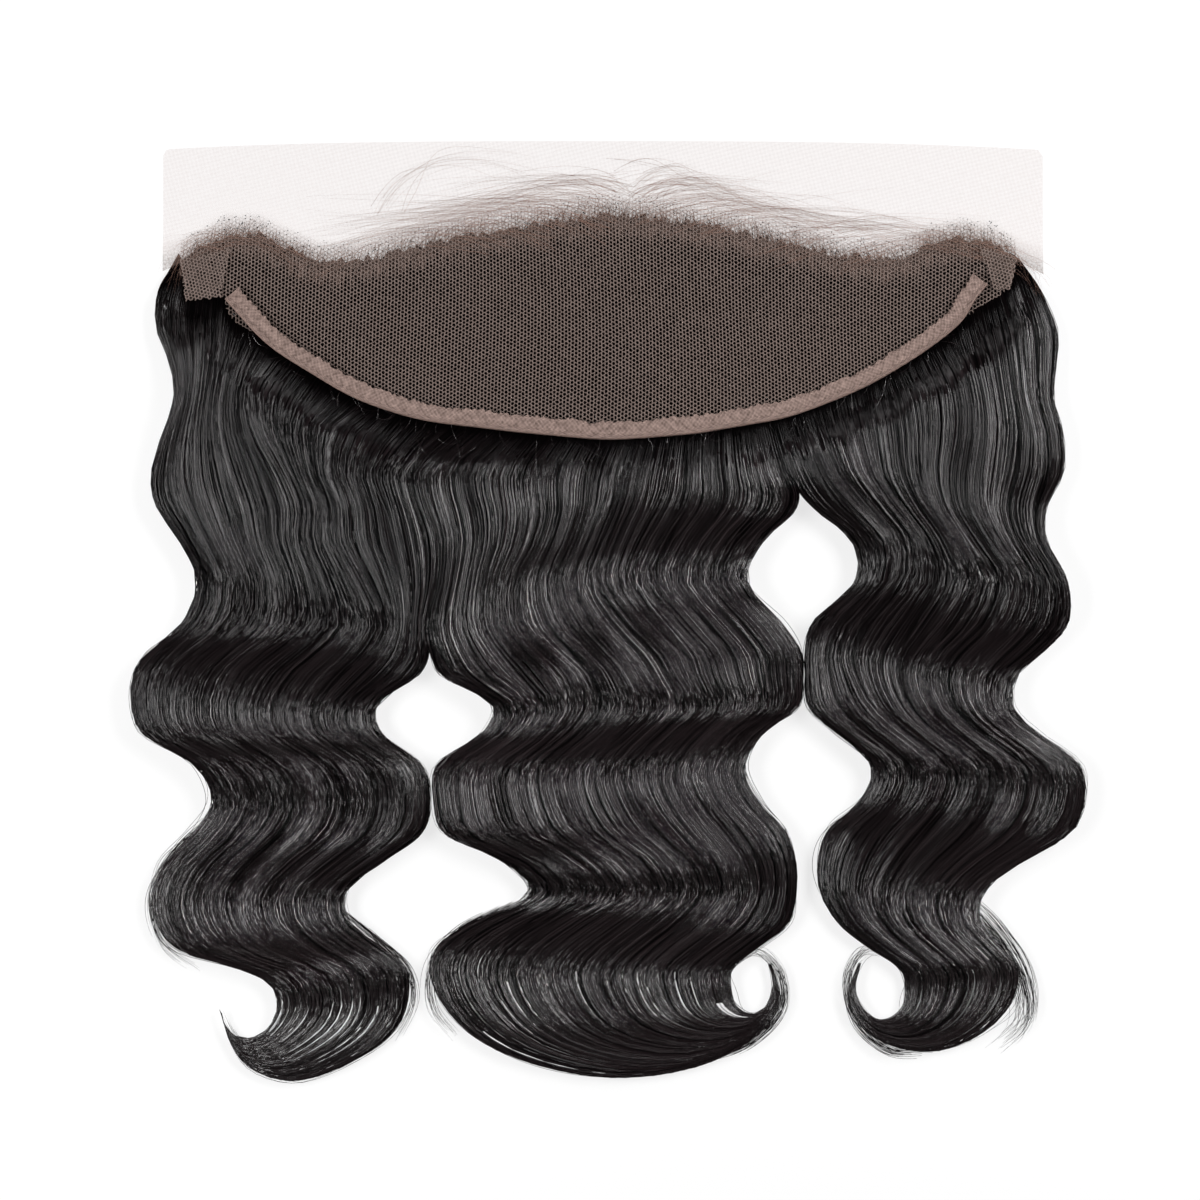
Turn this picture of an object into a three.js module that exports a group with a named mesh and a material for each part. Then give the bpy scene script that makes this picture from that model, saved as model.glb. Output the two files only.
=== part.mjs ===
// A lace frontal, lying flat with the inner side of its lace up: a strip of hex net that covers the
// hairline from ear to ear, a folded ribbon along its curved rear edge, a second layer of net at each
// ear, and three wavy hanks of hair that start at the hairline, run under the net and spread out below.
// Millimetres, +Z up. X runs from the ear on the left to the ear on the right, and +Y points to the
// sheer front edge. The origin is on the surface, under the middle of the whole piece.
import * as THREE from "three";

// Driving dimensions, in millimetres.
const EAR_TO_EAR = 330; // across the net, between the outer ends of the ear tabs
const LACE_DEPTH = 118; // from the sheer front edge to the rear edge, at the middle
const HAIR_REACH = 341; // from the foremost hair down to the lowest tips
const HAIR_HEIGHT = 13; // the highest part of the hanks
const ROOT_HEIGHT = 10; // of the hair under the rear edge of the net
const ROOT_LEAD = 15; // the net leaves the surface this far in front of the hairline
const LACE_WALL = 1;
const TAB_WALL = 1;
const BAND_WIDTH = 6.8;
const RIDGE_HEIGHT = 2; // of the rolled ridge along the ribbon's outer side
const FRONT_BOW = 3.5; // the front edge is this much further back at its ends
const EDGE_ROUNDING = 18; // width of the stretch in which a hank falls off to a free side
const EDGE_HEIGHT = 2.2; // of a hank's free sides
const SHADOW_WIDTH = 7; // the hair stays down this far behind the ribbon
const SHADOW_RISE = 0.6; // and then rises by this for each millimetre

// Clearances, in millimetres.
const BED_GAP = 0.4; // between the hair and the net that lies on it
const SEAT_GAP = 0.4; // between the net and what is sewn on it
const HANK_GAP = 0.6; // between two hanks
const TIP_WIDTH = 1.2; // of a hank where it ends

// How finely the surfaces are divided.
const HANK_CELLS = 18;
const STEPS_PER_SECTION = 2;
const BAND_STEPS = 44;
const TAB_CELLS = 4;
const NET_ROWS = 6;

// Locks: long shallow ridges that run down each hank.
const LOCKS = 5;
const LOCK_DEPTH = 0.14; // as a share of the hank's height
const LOCK_WANDER = 0.35; // in locks
const LOCK_WANDER_TURNS = 2.5; // over a hank's length

const HALF_WIDTH = EAR_TO_EAR / 2;

// The cloth from left to right. across is a share of HALF_WIDTH, and hairline and rear are shares of
// LACE_DEPTH, measured back from the front edge.
const LACE_SECTIONS = [
  { across: -1.041, hairline: 0.403, rear: 0.437 },
  { across: -1.0, hairline: 0.395, rear: 0.41 },
  { across: -0.983, hairline: 0.385, rear: 0.54 },
  { across: -0.94, hairline: 0.35, rear: 0.533 },
  { across: -0.895, hairline: 0.317, rear: 0.53 },
  { across: -0.885, hairline: 0.313, rear: 0.583 },
  { across: -0.854, hairline: 0.313, rear: 0.63 },
  { across: -0.814, hairline: 0.313, rear: 0.65 },
  { across: -0.768, hairline: 0.343, rear: 0.697 },
  { across: -0.665, hairline: 0.403, rear: 0.787 },
  { across: -0.565, hairline: 0.403, rear: 0.86 },
  { across: -0.465, hairline: 0.367, rear: 0.91 },
  { across: -0.364, hairline: 0.333, rear: 0.94 },
  { across: -0.202, hairline: 0.29, rear: 0.967 },
  { across: -0.051, hairline: 0.257, rear: 0.987 },
  { across: 0.025, hairline: 0.24, rear: 0.99 },
  { across: 0.202, hairline: 0.27, rear: 0.977 },
  { across: 0.338, hairline: 0.307, rear: 0.95 },
  { across: 0.458, hairline: 0.34, rear: 0.913 },
  { across: 0.589, hairline: 0.387, rear: 0.843 },
  { across: 0.716, hairline: 0.397, rear: 0.753 },
  { across: 0.792, hairline: 0.347, rear: 0.683 },
  { across: 0.869, hairline: 0.323, rear: 0.603 },
  { across: 0.935, hairline: 0.34, rear: 0.543 },
  { across: 0.981, hairline: 0.377, rear: 0.503 },
  { across: 1.002, hairline: 0.39, rear: 0.403 },
  { across: 1.062, hairline: 0.423, rear: 0.447 },
];

// The ribbon's outer side, in the same shares.
const BAND_POINTS = [
  { across: -0.89, rear: 0.533 },
  { across: -0.857, rear: 0.587 },
  { across: -0.818, rear: 0.647 },
  { across: -0.768, rear: 0.707 },
  { across: -0.665, rear: 0.797 },
  { across: -0.565, rear: 0.87 },
  { across: -0.465, rear: 0.92 },
  { across: -0.364, rear: 0.95 },
  { across: -0.202, rear: 0.977 },
  { across: 0.025, rear: 1.0 },
  { across: 0.202, rear: 0.987 },
  { across: 0.338, rear: 0.96 },
  { across: 0.458, rear: 0.923 },
  { across: 0.589, rear: 0.853 },
  { across: 0.716, rear: 0.763 },
  { across: 0.792, rear: 0.693 },
  { across: 0.866, rear: 0.607 },
  { across: 0.9, rear: 0.53 },
  { across: 0.926, rear: 0.483 },
];

// The ribbon's upper side from its outer edge to its inner edge. across is a share of BAND_WIDTH, and
// height a share of RIDGE_HEIGHT.
const BAND_PROFILE = [
  { across: 0, height: 0.5 },
  { across: 0.07, height: 0.95 },
  { across: 0.16, height: 1 },
  { across: 0.25, height: 0.6 },
  { across: 0.6, height: 0.65 },
  { across: 1, height: 0.5 },
];

// Each ear tab by its corners, in the cloth's shares.
const LEFT_TAB = {
  outerFront: { across: -1.0, rear: 0.4 },
  outerRear: { across: -0.985, rear: 0.54 },
  innerFront: { across: -0.876, rear: 0.36 },
  innerRear: { across: -0.9, rear: 0.528 },
};
const RIGHT_TAB = {
  outerFront: { across: 1.0, rear: 0.39 },
  outerRear: { across: 0.981, rear: 0.5 },
  innerFront: { across: 0.907, rear: 0.35 },
  innerRear: { across: 0.938, rear: 0.5 },
};

// The hanks from the hairline down, a row for each crest, trough and slope of the waves. down is a
// share of HAIR_REACH, height a share of HAIR_HEIGHT, and the sides are shares of HALF_WIDTH.
// leftOuter and leftInner are the left hank's sides, and so on.
const HANK_SECTIONS = [
  { down: 0, height: 0.2, leftOuter: -1.0, leftInner: -0.402, centerLeft: -0.402, centerRight: 0.45,
    rightInner: 0.45, rightOuter: 1.0 },
  { down: 0.03, height: 0.34, leftOuter: -1.043, leftInner: -0.402, centerLeft: -0.402,
    centerRight: 0.45, rightInner: 0.45, rightOuter: 1.05 },
  { down: 0.06, height: 0.45, leftOuter: -1.057, leftInner: -0.402, centerLeft: -0.402,
    centerRight: 0.45, rightInner: 0.45, rightOuter: 1.074 },
  { down: 0.1, height: 0.6, leftOuter: -1.055, leftInner: -0.402, centerLeft: -0.402,
    centerRight: 0.45, rightInner: 0.45, rightOuter: 1.096 },
  { down: 0.15, height: 0.75, leftOuter: -1.024, leftInner: -0.402, centerLeft: -0.402,
    centerRight: 0.45, rightInner: 0.45, rightOuter: 1.093 },
  { down: 0.2, height: 0.85, leftOuter: -1.012, leftInner: -0.402, centerLeft: -0.402,
    centerRight: 0.45, rightInner: 0.45, rightOuter: 1.086 },
  { down: 0.25, height: 0.92, leftOuter: -1.038, leftInner: -0.402, centerLeft: -0.402,
    centerRight: 0.45, rightInner: 0.45, rightOuter: 1.108 },
  { down: 0.3, height: 0.97, leftOuter: -1.067, leftInner: -0.402, centerLeft: -0.402,
    centerRight: 0.469, rightInner: 0.469, rightOuter: 1.11 },
  { down: 0.325, height: 0.99, leftOuter: -1.065, leftInner: -0.402, centerLeft: -0.402,
    centerRight: 0.478, rightInner: 0.481, rightOuter: 1.085 },
  { down: 0.345, height: 1, leftOuter: -1.05, leftInner: -0.402, centerLeft: -0.402,
    centerRight: 0.47, rightInner: 0.52, rightOuter: 1.068 },
  { down: 0.38, height: 1, leftOuter: -1.0, leftInner: -0.402, centerLeft: -0.402,
    centerRight: 0.395, rightInner: 0.605, rightOuter: 1.07 },
  { down: 0.425, height: 1, leftOuter: -0.957, leftInner: -0.402, centerLeft: -0.402,
    centerRight: 0.355, rightInner: 0.615, rightOuter: 1.12 },
  { down: 0.475, height: 0.98, leftOuter: -0.993, leftInner: -0.402, centerLeft: -0.402,
    centerRight: 0.44, rightInner: 0.508, rightOuter: 1.122 },
  { down: 0.51, height: 0.96, leftOuter: -1.079, leftInner: -0.404, centerLeft: -0.4,
    centerRight: 0.487, rightInner: 0.492, rightOuter: 1.057 },
  { down: 0.533, height: 0.95, leftOuter: -1.11, leftInner: -0.425, centerLeft: -0.38,
    centerRight: 0.489, rightInner: 0.493, rightOuter: 1.0 },
  { down: 0.57, height: 0.94, leftOuter: -1.115, leftInner: -0.53, centerLeft: -0.25,
    centerRight: 0.48, rightInner: 0.499, rightOuter: 0.986 },
  { down: 0.6, height: 0.92, leftOuter: -1.093, leftInner: -0.523, centerLeft: -0.274,
    centerRight: 0.398, rightInner: 0.563, rightOuter: 1.043 },
  { down: 0.64, height: 0.92, leftOuter: -0.957, leftInner: -0.42, centerLeft: -0.39,
    centerRight: 0.348, rightInner: 0.653, rightOuter: 1.151 },
  { down: 0.68, height: 0.9, leftOuter: -0.919, leftInner: -0.402, centerLeft: -0.395,
    centerRight: 0.381, rightInner: 0.625, rightOuter: 1.16 },
  { down: 0.715, height: 0.86, leftOuter: -0.962, leftInner: -0.418, centerLeft: -0.375,
    centerRight: 0.446, rightInner: 0.546, rightOuter: 1.131 },
  { down: 0.75, height: 0.8, leftOuter: -1.033, leftInner: -0.513, centerLeft: -0.225,
    centerRight: 0.472, rightInner: 0.524, rightOuter: 1.012 },
  { down: 0.785, height: 0.74, leftOuter: -1.064, leftInner: -0.603, centerLeft: -0.16,
    centerRight: 0.472, rightInner: 0.529, rightOuter: 0.919 },
  { down: 0.82, height: 0.66, leftOuter: -1.056, leftInner: -0.594, centerLeft: -0.3,
    centerRight: 0.455, rightInner: 0.57, rightOuter: 0.912 },
  { down: 0.85, height: 0.6, leftOuter: -1.01, leftInner: -0.515, centerLeft: -0.387,
    centerRight: 0.379, rightInner: 0.646, rightOuter: 0.964 },
  { down: 0.876, height: 0.54, leftOuter: -0.84, leftInner: -0.458, centerLeft: -0.403,
    centerRight: 0.314, rightInner: 0.723, rightOuter: 1.002 },
];

// The curl at the end of each hank, where the sections turn. Each row gives the left and the right
// side by a share of HALF_WIDTH across and a share of HAIR_REACH down.
const LEFT_CURL = [
  { height: 0.5, left: [-0.78, 0.894], right: [-0.462, 0.925] },
  { height: 0.46, left: [-0.766, 0.914], right: [-0.51, 0.957] },
  { height: 0.42, left: [-0.78, 0.936], right: [-0.63, 0.991] },
  { height: 0.36, left: [-0.814, 0.953], right: [-0.737, 1.004] },
  { height: 0.28, left: [-0.857, 0.955], right: [-0.838, 0.987] },
  { height: 0.22, left: [-0.89, 0.94], right: [-0.883, 0.955] },
];
const CENTER_CURL = [
  { height: 0.5, left: [-0.37, 0.917], right: [0.318, 0.9] },
  { height: 0.46, left: [-0.285, 0.957], right: [0.325, 0.914] },
  { height: 0.42, left: [-0.135, 0.987], right: [0.343, 0.923] },
  { height: 0.38, left: [0.051, 1.0], right: [0.362, 0.926] },
  { height: 0.34, left: [0.243, 0.986], right: [0.384, 0.925] },
  { height: 0.3, left: [0.367, 0.955], right: [0.403, 0.914] },
  { height: 0.25, left: [0.434, 0.914], right: [0.417, 0.893] },
];
const RIGHT_CURL = [
  { height: 0.5, left: [0.732, 0.897], right: [0.988, 0.911] },
  { height: 0.46, left: [0.725, 0.918], right: [0.924, 0.946] },
  { height: 0.42, left: [0.697, 0.931], right: [0.811, 0.969] },
  { height: 0.36, left: [0.663, 0.932], right: [0.697, 0.963] },
  { height: 0.3, left: [0.63, 0.918], right: [0.625, 0.939] },
  { height: 0.25, left: [0.613, 0.897], right: [0.596, 0.906] },
];
// Where each hank's last hairs end: across, down and the direction from its left to its right side.
const LEFT_TIP = { across: -0.902, down: 0.923, toRight: [0.85, 0.5] };
const CENTER_TIP = { across: 0.408, down: 0.867, toRight: [-0.8, 0.6] };
const RIGHT_TIP = { across: 0.624, down: 0.867, toRight: [-1, 0] };
const TIP_HEIGHT = 0.18; // as a share of HAIR_HEIGHT

// How far down two hanks still lie against each other, as a share of HAIR_REACH.
const LEFT_SEAM_END = 0.5;
const RIGHT_SEAM_END = 0.31;

// One value of a table, at a place between two of its rows.
function between(rows, key, across) {
  const last = rows.length - 1;
  if (across <= rows[0].across) return rows[0][key];
  if (across >= rows[last].across) return rows[last][key];
  const i = rows.findIndex((row) => row.across > across);
  const from = rows[i - 1];
  const to = rows[i];
  const share = (across - from.across) / (to.across - from.across);
  return from[key] + share * (to[key] - from[key]);
}

const PEAK_Y = -LACE_DEPTH * Math.min(...LACE_SECTIONS.map((row) => row.hairline));
const ROOT_DEPTH = LACE_DEPTH + PEAK_Y; // from the foremost hair to the rear edge
const CLOTH_HALF = HALF_WIDTH * LACE_SECTIONS[LACE_SECTIONS.length - 1].across;

const hairlineY = (x) => -LACE_DEPTH * between(LACE_SECTIONS, "hairline", x / HALF_WIDTH);
const rearY = (x) => -LACE_DEPTH * between(LACE_SECTIONS, "rear", x / HALF_WIDTH);
const frontY = (x) => -FRONT_BOW * Math.abs(x / CLOTH_HALF) ** 3;

// Height of the net's underside: on the surface in front, then rising evenly over the hair.
function bedHeight(x, y) {
  const behind = hairlineY(x) + ROOT_LEAD - y;
  return (ROOT_HEIGHT * Math.max(0, behind)) / (ROOT_LEAD + ROOT_DEPTH);
}

// The furthest back that the cloth reaches near x.
function coverY(x) {
  return Math.min(rearY(x - SHADOW_WIDTH), rearY(x), rearY(x + SHADOW_WIDTH));
}

// The highest that the hair may be: under the net, and in the shadow right behind it.
function hairCeiling(x, y) {
  const past = coverY(x) - SHADOW_WIDTH - y;
  return bedHeight(x, y) - BED_GAP + SHADOW_RISE * Math.max(0, past);
}

// A closed body from vertices and triangles.
function bodyFrom(vertices, triangles) {
  const geometry = new THREE.BufferGeometry();
  const flat = vertices.flatMap((v) => [v.x, v.y, v.z]);
  geometry.setAttribute("position", new THREE.Float32BufferAttribute(flat, 3));
  geometry.setIndex(triangles);
  geometry.computeVertexNormals();
  return geometry;
}

// The triangles of a grid of vertices that starts at an index, facing up or down.
function gridTriangles(rows, columns, start, up) {
  const triangles = [];
  for (let r = 0; r < rows - 1; r += 1) {
    for (let c = 0; c < columns - 1; c += 1) {
      const a = start + r * columns + c;
      const b = a + 1;
      const d = a + columns;
      const e = d + 1;
      if (up) triangles.push(a, d, e, a, e, b);
      else triangles.push(a, e, d, a, b, e);
    }
  }
  return triangles;
}

// The indices round the border of a grid, with its first row on top and its first column at the left:
// down the left side, along the last row, up the right side and back.
function gridBorder(rows, columns) {
  const border = [];
  for (let r = 0; r < rows; r += 1) border.push(r * columns);
  for (let c = 1; c < columns; c += 1) border.push((rows - 1) * columns + c);
  for (let r = rows - 2; r >= 0; r -= 1) border.push(r * columns + columns - 1);
  for (let c = columns - 2; c > 0; c -= 1) border.push(c);
  return border;
}

// The wall between an upper border and a lower one, facing out.
function wallTriangles(upper, lower) {
  const triangles = [];
  upper.forEach((a, i) => {
    const j = (i + 1) % upper.length;
    triangles.push(a, lower[i], lower[j], a, lower[j], upper[j]);
  });
  return triangles;
}

// A cloth: a grid of points on its upper side, front row first and left column first, and the same
// grid lowered by the cloth's wall at each point.
function clothBody(grid, wallAt) {
  const rows = grid.length;
  const columns = grid[0].length;
  const top = grid.flat();
  const count = top.length;
  const bottom = grid.flatMap((row, r) =>
    row.map((p, c) => new THREE.Vector3(p.x, p.y, p.z - wallAt(r, c))),
  );
  const border = gridBorder(rows, columns);
  const lower = border.map((i) => i + count);
  return bodyFrom(
    [...top, ...bottom],
    [
      ...gridTriangles(rows, columns, 0, true),
      ...gridTriangles(rows, columns, count, false),
      ...wallTriangles(border, lower),
    ],
  );
}

// The triangles between two rows of indices of any length, the front row first, facing down.
function stripTriangles(front, back) {
  const triangles = [];
  let i = 0;
  let j = 0;
  while (i < front.length - 1 || j < back.length - 1) {
    const frontNext = (i + 1) / (front.length - 1);
    const backNext = (j + 1) / (back.length - 1);
    if (frontNext <= backNext) {
      triangles.push(front[i], front[i + 1], back[j]);
      i += 1;
    } else {
      triangles.push(front[i], back[j + 1], back[j]);
      j += 1;
    }
  }
  return triangles;
}

// A mound: a grid of points on its upper side, closed by walls down to a flat base at z = 0. The base
// keeps all the points of its first rows, which curve, and of its last, and two points of the others.
function moundBody(grid, curvedRows) {
  const last = grid.length - 1;
  const columns = grid[0].length;
  const top = grid.flat();
  const base = [];
  const baseRows = grid.map((row, r) => {
    const kept = r <= curvedRows || r === last ? row : [row[0], row[columns - 1]];
    return kept.map((p) => top.length + base.push(new THREE.Vector3(p.x, p.y, 0)) - 1);
  });
  const lower = [
    ...baseRows.map((row) => row[0]),
    ...baseRows[last].slice(1),
    ...baseRows.slice(0, last).reverse().map((row) => row[row.length - 1]),
    ...baseRows[0].slice(1, -1).reverse(),
  ];
  return bodyFrom(
    [...top, ...base],
    [
      ...gridTriangles(grid.length, columns, 0, true),
      ...wallTriangles(gridBorder(grid.length, columns), lower),
      ...baseRows.slice(1).flatMap((row, r) => stripTriangles(baseRows[r], row)),
    ],
  );
}

// The net: sections from left to right, each with rows from the front edge to the rear edge.
function laceGeometry() {
  const columns = LACE_SECTIONS.map((section) => {
    const x = section.across * HALF_WIDTH;
    const hairline = hairlineY(x);
    const foot = hairline + ROOT_LEAD;
    const ys = [frontY(x), (frontY(x) + foot) / 2, foot, hairline];
    for (let i = 1; i <= NET_ROWS; i += 1) {
      ys.push(hairline + ((rearY(x) - hairline) * i) / NET_ROWS);
    }
    return ys.map((y) => new THREE.Vector3(x, y, bedHeight(x, y) + LACE_WALL));
  });
  const grid = columns[0].map((_, r) => columns.map((column) => column[r]));
  return clothBody(grid, () => LACE_WALL);
}

// A second layer on the net, between four corners.
function tabGeometry(tab) {
  const corner = (key) =>
    new THREE.Vector2(tab[key].across * HALF_WIDTH, -tab[key].rear * LACE_DEPTH);
  const [leftKey, rightKey] = tab.outerFront.across < 0 ? ["outer", "inner"] : ["inner", "outer"];
  const grid = [];
  for (let r = 0; r <= TAB_CELLS; r += 1) {
    const left = corner(`${leftKey}Front`).lerp(corner(`${leftKey}Rear`), r / TAB_CELLS);
    const right = corner(`${rightKey}Front`).lerp(corner(`${rightKey}Rear`), r / TAB_CELLS);
    const row = [];
    for (let c = 0; c <= TAB_CELLS; c += 1) {
      const p = left.clone().lerp(right, c / TAB_CELLS);
      const under = bedHeight(p.x, p.y) + LACE_WALL + SEAT_GAP;
      row.push(new THREE.Vector3(p.x, p.y, under + TAB_WALL));
    }
    grid.push(row);
  }
  return clothBody(grid, () => TAB_WALL);
}

// The ribbon: its profile, carried along the curved rear edge.
function bandGeometry() {
  const path = new THREE.CatmullRomCurve3(
    BAND_POINTS.map((p) => new THREE.Vector3(p.across * HALF_WIDTH, -p.rear * LACE_DEPTH, 0)),
  );
  const stations = [];
  for (let i = 0; i <= BAND_STEPS; i += 1) {
    const p = path.getPointAt(i / BAND_STEPS);
    const t = path.getTangentAt(i / BAND_STEPS);
    const inward = new THREE.Vector3(-t.y, t.x, 0);
    stations.push({ p, inward });
  }
  // The inner edge is the front row of the grid, and the outer edge is its last row.
  const profile = [...BAND_PROFILE].reverse();
  const grid = profile.map((point) =>
    stations.map(({ p, inward }) => {
      const q = p.clone().addScaledVector(inward, point.across * BAND_WIDTH);
      const under = bedHeight(q.x, q.y) + LACE_WALL + SEAT_GAP;
      return q.setZ(under + point.height * RIDGE_HEIGHT);
    }),
  );
  return clothBody(grid, (r) => profile[r].height * RIDGE_HEIGHT);
}

// One side of a hank as a smooth curve, with how far down in the place of Y.
function sideCurve(points) {
  return new THREE.CatmullRomCurve3(
    points.map(([across, down]) => new THREE.Vector3(across * HALF_WIDTH, down * HAIR_REACH, 0)),
    false,
    "centripetal",
  );
}

// How far a hank stands up at a distance from a side: full where a neighbour lies against it.
function sideLift(distance, open) {
  const share = Math.min(1, distance / EDGE_ROUNDING);
  const rounded = Math.sqrt(1 - (1 - share) ** 2);
  return 1 - open * (1 - rounded);
}

// A hank: a mound between its two sides, from the hairline to its tip.
// seams gives how far down a neighbour lies against its left and its right side.
function hankGeometry({ leftKey, rightKey, curl, tip, leftSeam, rightSeam }) {
  const leftGap = leftSeam > 0 ? HANK_GAP / 2 / HALF_WIDTH : 0;
  const rightGap = rightSeam > 0 ? HANK_GAP / 2 / HALF_WIDTH : 0;
  const half = TIP_WIDTH / 2;
  const [acrossStep, downStep] = tip.toRight;
  const tipSide = (sign) => [
    tip.across + (sign * half * acrossStep) / HALF_WIDTH,
    tip.down + (sign * half * downStep) / HAIR_REACH,
  ];
  const rows = [
    ...HANK_SECTIONS.map((row) => ({
      height: row.height,
      left: [row[leftKey] + leftGap, row.down],
      right: [row[rightKey] - rightGap, row.down],
    })),
    ...curl,
    { height: TIP_HEIGHT, left: tipSide(-1), right: tipSide(1) },
  ];
  const left = sideCurve(rows.map((row) => row.left));
  const right = sideCurve(rows.map((row) => row.right));
  const steps = (rows.length - 1) * STEPS_PER_SECTION;
  const grid = [];
  let curvedRows = 0;
  for (let r = 0; r <= steps; r += 1) {
    const t = r / steps;
    const at = Math.min(rows.length - 2, Math.floor(t * (rows.length - 1)));
    const share = t * (rows.length - 1) - at;
    const height = HAIR_HEIGHT * THREE.MathUtils.lerp(rows[at].height, rows[at + 1].height, share);
    const a = left.getPoint(t);
    const b = right.getPoint(t);
    const width = a.distanceTo(b);
    if (Math.min(a.y, b.y) < ROOT_DEPTH) curvedRows = r + 1;
    const row = [];
    for (let c = 0; c <= HANK_CELLS; c += 1) {
      const u = c / HANK_CELLS;
      const { x, y: down } = a.clone().lerp(b, u);
      const dip = (PEAK_Y - hairlineY(x)) * Math.max(0, 1 - down / ROOT_DEPTH);
      const y = PEAK_Y - down - dip;
      const leftOpen = down > leftSeam * HAIR_REACH ? 1 : 0;
      const rightOpen = down > rightSeam * HAIR_REACH ? 1 : 0;
      const lift = sideLift(u * width, leftOpen) * sideLift((1 - u) * width, rightOpen);
      const wander = LOCK_WANDER * Math.sin(2 * Math.PI * LOCK_WANDER_TURNS * t);
      const ridge = 0.5 - 0.5 * Math.cos(2 * Math.PI * (LOCKS * u + wander));
      const crown = height * (1 - LOCK_DEPTH * (1 - ridge));
      const edge = Math.min(EDGE_HEIGHT, height);
      const z = Math.min(edge + (crown - edge) * lift, hairCeiling(x, y));
      row.push(new THREE.Vector3(x, y, Math.max(z, TIP_WIDTH / 2)));
    }
    grid.push(row);
  }
  return moundBody(grid, curvedRows);
}

const netMaterial = new THREE.MeshStandardMaterial({ color: 0x6b5f5a, roughness: 0.8 });
const ribbonMaterial = new THREE.MeshStandardMaterial({ color: 0x8c7870, roughness: 0.75 });
const hairMaterial = new THREE.MeshStandardMaterial({ color: 0x1a1615, roughness: 0.38 });

const PIECES = [
  { name: "lace_sheet", material: netMaterial, geometry: laceGeometry() },
  { name: "ear_tab_left", material: netMaterial, geometry: tabGeometry(LEFT_TAB) },
  { name: "ear_tab_right", material: netMaterial, geometry: tabGeometry(RIGHT_TAB) },
  { name: "edge_band", material: ribbonMaterial, geometry: bandGeometry() },
  {
    name: "hair_left",
    material: hairMaterial,
    geometry: hankGeometry({
      leftKey: "leftOuter",
      rightKey: "leftInner",
      curl: LEFT_CURL,
      tip: LEFT_TIP,
      leftSeam: 0,
      rightSeam: LEFT_SEAM_END,
    }),
  },
  {
    name: "hair_center",
    material: hairMaterial,
    geometry: hankGeometry({
      leftKey: "centerLeft",
      rightKey: "centerRight",
      curl: CENTER_CURL,
      tip: CENTER_TIP,
      leftSeam: LEFT_SEAM_END,
      rightSeam: RIGHT_SEAM_END,
    }),
  },
  {
    name: "hair_right",
    material: hairMaterial,
    geometry: hankGeometry({
      leftKey: "rightInner",
      rightKey: "rightOuter",
      curl: RIGHT_CURL,
      tip: RIGHT_TIP,
      leftSeam: RIGHT_SEAM_END,
      rightSeam: 0,
    }),
  },
];

const frontal = new THREE.Group();
for (const { name, material, geometry } of PIECES) {
  const mesh = new THREE.Mesh(geometry, material);
  mesh.name = name;
  frontal.add(mesh);
}

// The origin goes under the middle of the whole piece.
const middle = new THREE.Box3().setFromObject(frontal).getCenter(new THREE.Vector3());
frontal.position.set(-middle.x, -middle.y, 0);

const group = new THREE.Group();
group.add(frontal);

export default group;
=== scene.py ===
"""A lace frontal laid flat: the finished look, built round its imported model.

The lace lies with its inner side up. Black wavy hair starts at the hairline, runs under the hex net and
spreads out in three hanks below the sewn ribbon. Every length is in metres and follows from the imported
model: the tables hold shares of the cloth's half width, of its depth and of the hair's reach.
"""

import logging
import math
from collections.abc import Callable
from dataclasses import dataclass
from enum import Enum, IntEnum
from typing import NamedTuple

import bpy
import numpy as np
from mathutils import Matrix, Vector

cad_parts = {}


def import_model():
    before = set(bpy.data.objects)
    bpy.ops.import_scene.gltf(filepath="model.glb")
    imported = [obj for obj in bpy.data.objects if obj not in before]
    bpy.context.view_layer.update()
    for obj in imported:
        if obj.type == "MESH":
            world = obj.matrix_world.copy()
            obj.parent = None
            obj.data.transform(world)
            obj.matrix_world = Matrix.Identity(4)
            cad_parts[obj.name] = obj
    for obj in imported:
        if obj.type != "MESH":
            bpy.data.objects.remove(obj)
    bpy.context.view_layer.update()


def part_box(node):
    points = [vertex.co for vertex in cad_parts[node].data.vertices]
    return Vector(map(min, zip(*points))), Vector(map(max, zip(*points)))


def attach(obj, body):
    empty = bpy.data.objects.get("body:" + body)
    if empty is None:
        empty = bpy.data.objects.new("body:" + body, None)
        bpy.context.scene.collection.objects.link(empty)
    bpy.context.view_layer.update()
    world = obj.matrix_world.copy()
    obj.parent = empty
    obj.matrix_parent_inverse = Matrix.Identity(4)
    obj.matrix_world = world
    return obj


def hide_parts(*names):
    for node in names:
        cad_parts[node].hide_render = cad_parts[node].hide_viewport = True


LOG = logging.getLogger("lace_frontal")
MM = 0.001
SMOOTH_ANGLE = math.radians(50)
NO_LENGTH = 1e-12
CLOTH_SPECULAR = 0.3
Array = np.ndarray
Span = tuple[float, float]
Color = tuple[float, float, float, float]


class Slot(Enum):
    """Names of the material slots."""

    NET = "net"
    RIBBON = "ribbon"
    HAIR = "hair"


class Hold(Enum):
    """How a sheet of cloth is held."""

    LAID = "laid"


class LaceSection(NamedTuple):
    """The cloth at one place across: where its hairline and its rear edge are."""

    across: float
    hairline: float
    rear: float


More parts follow.
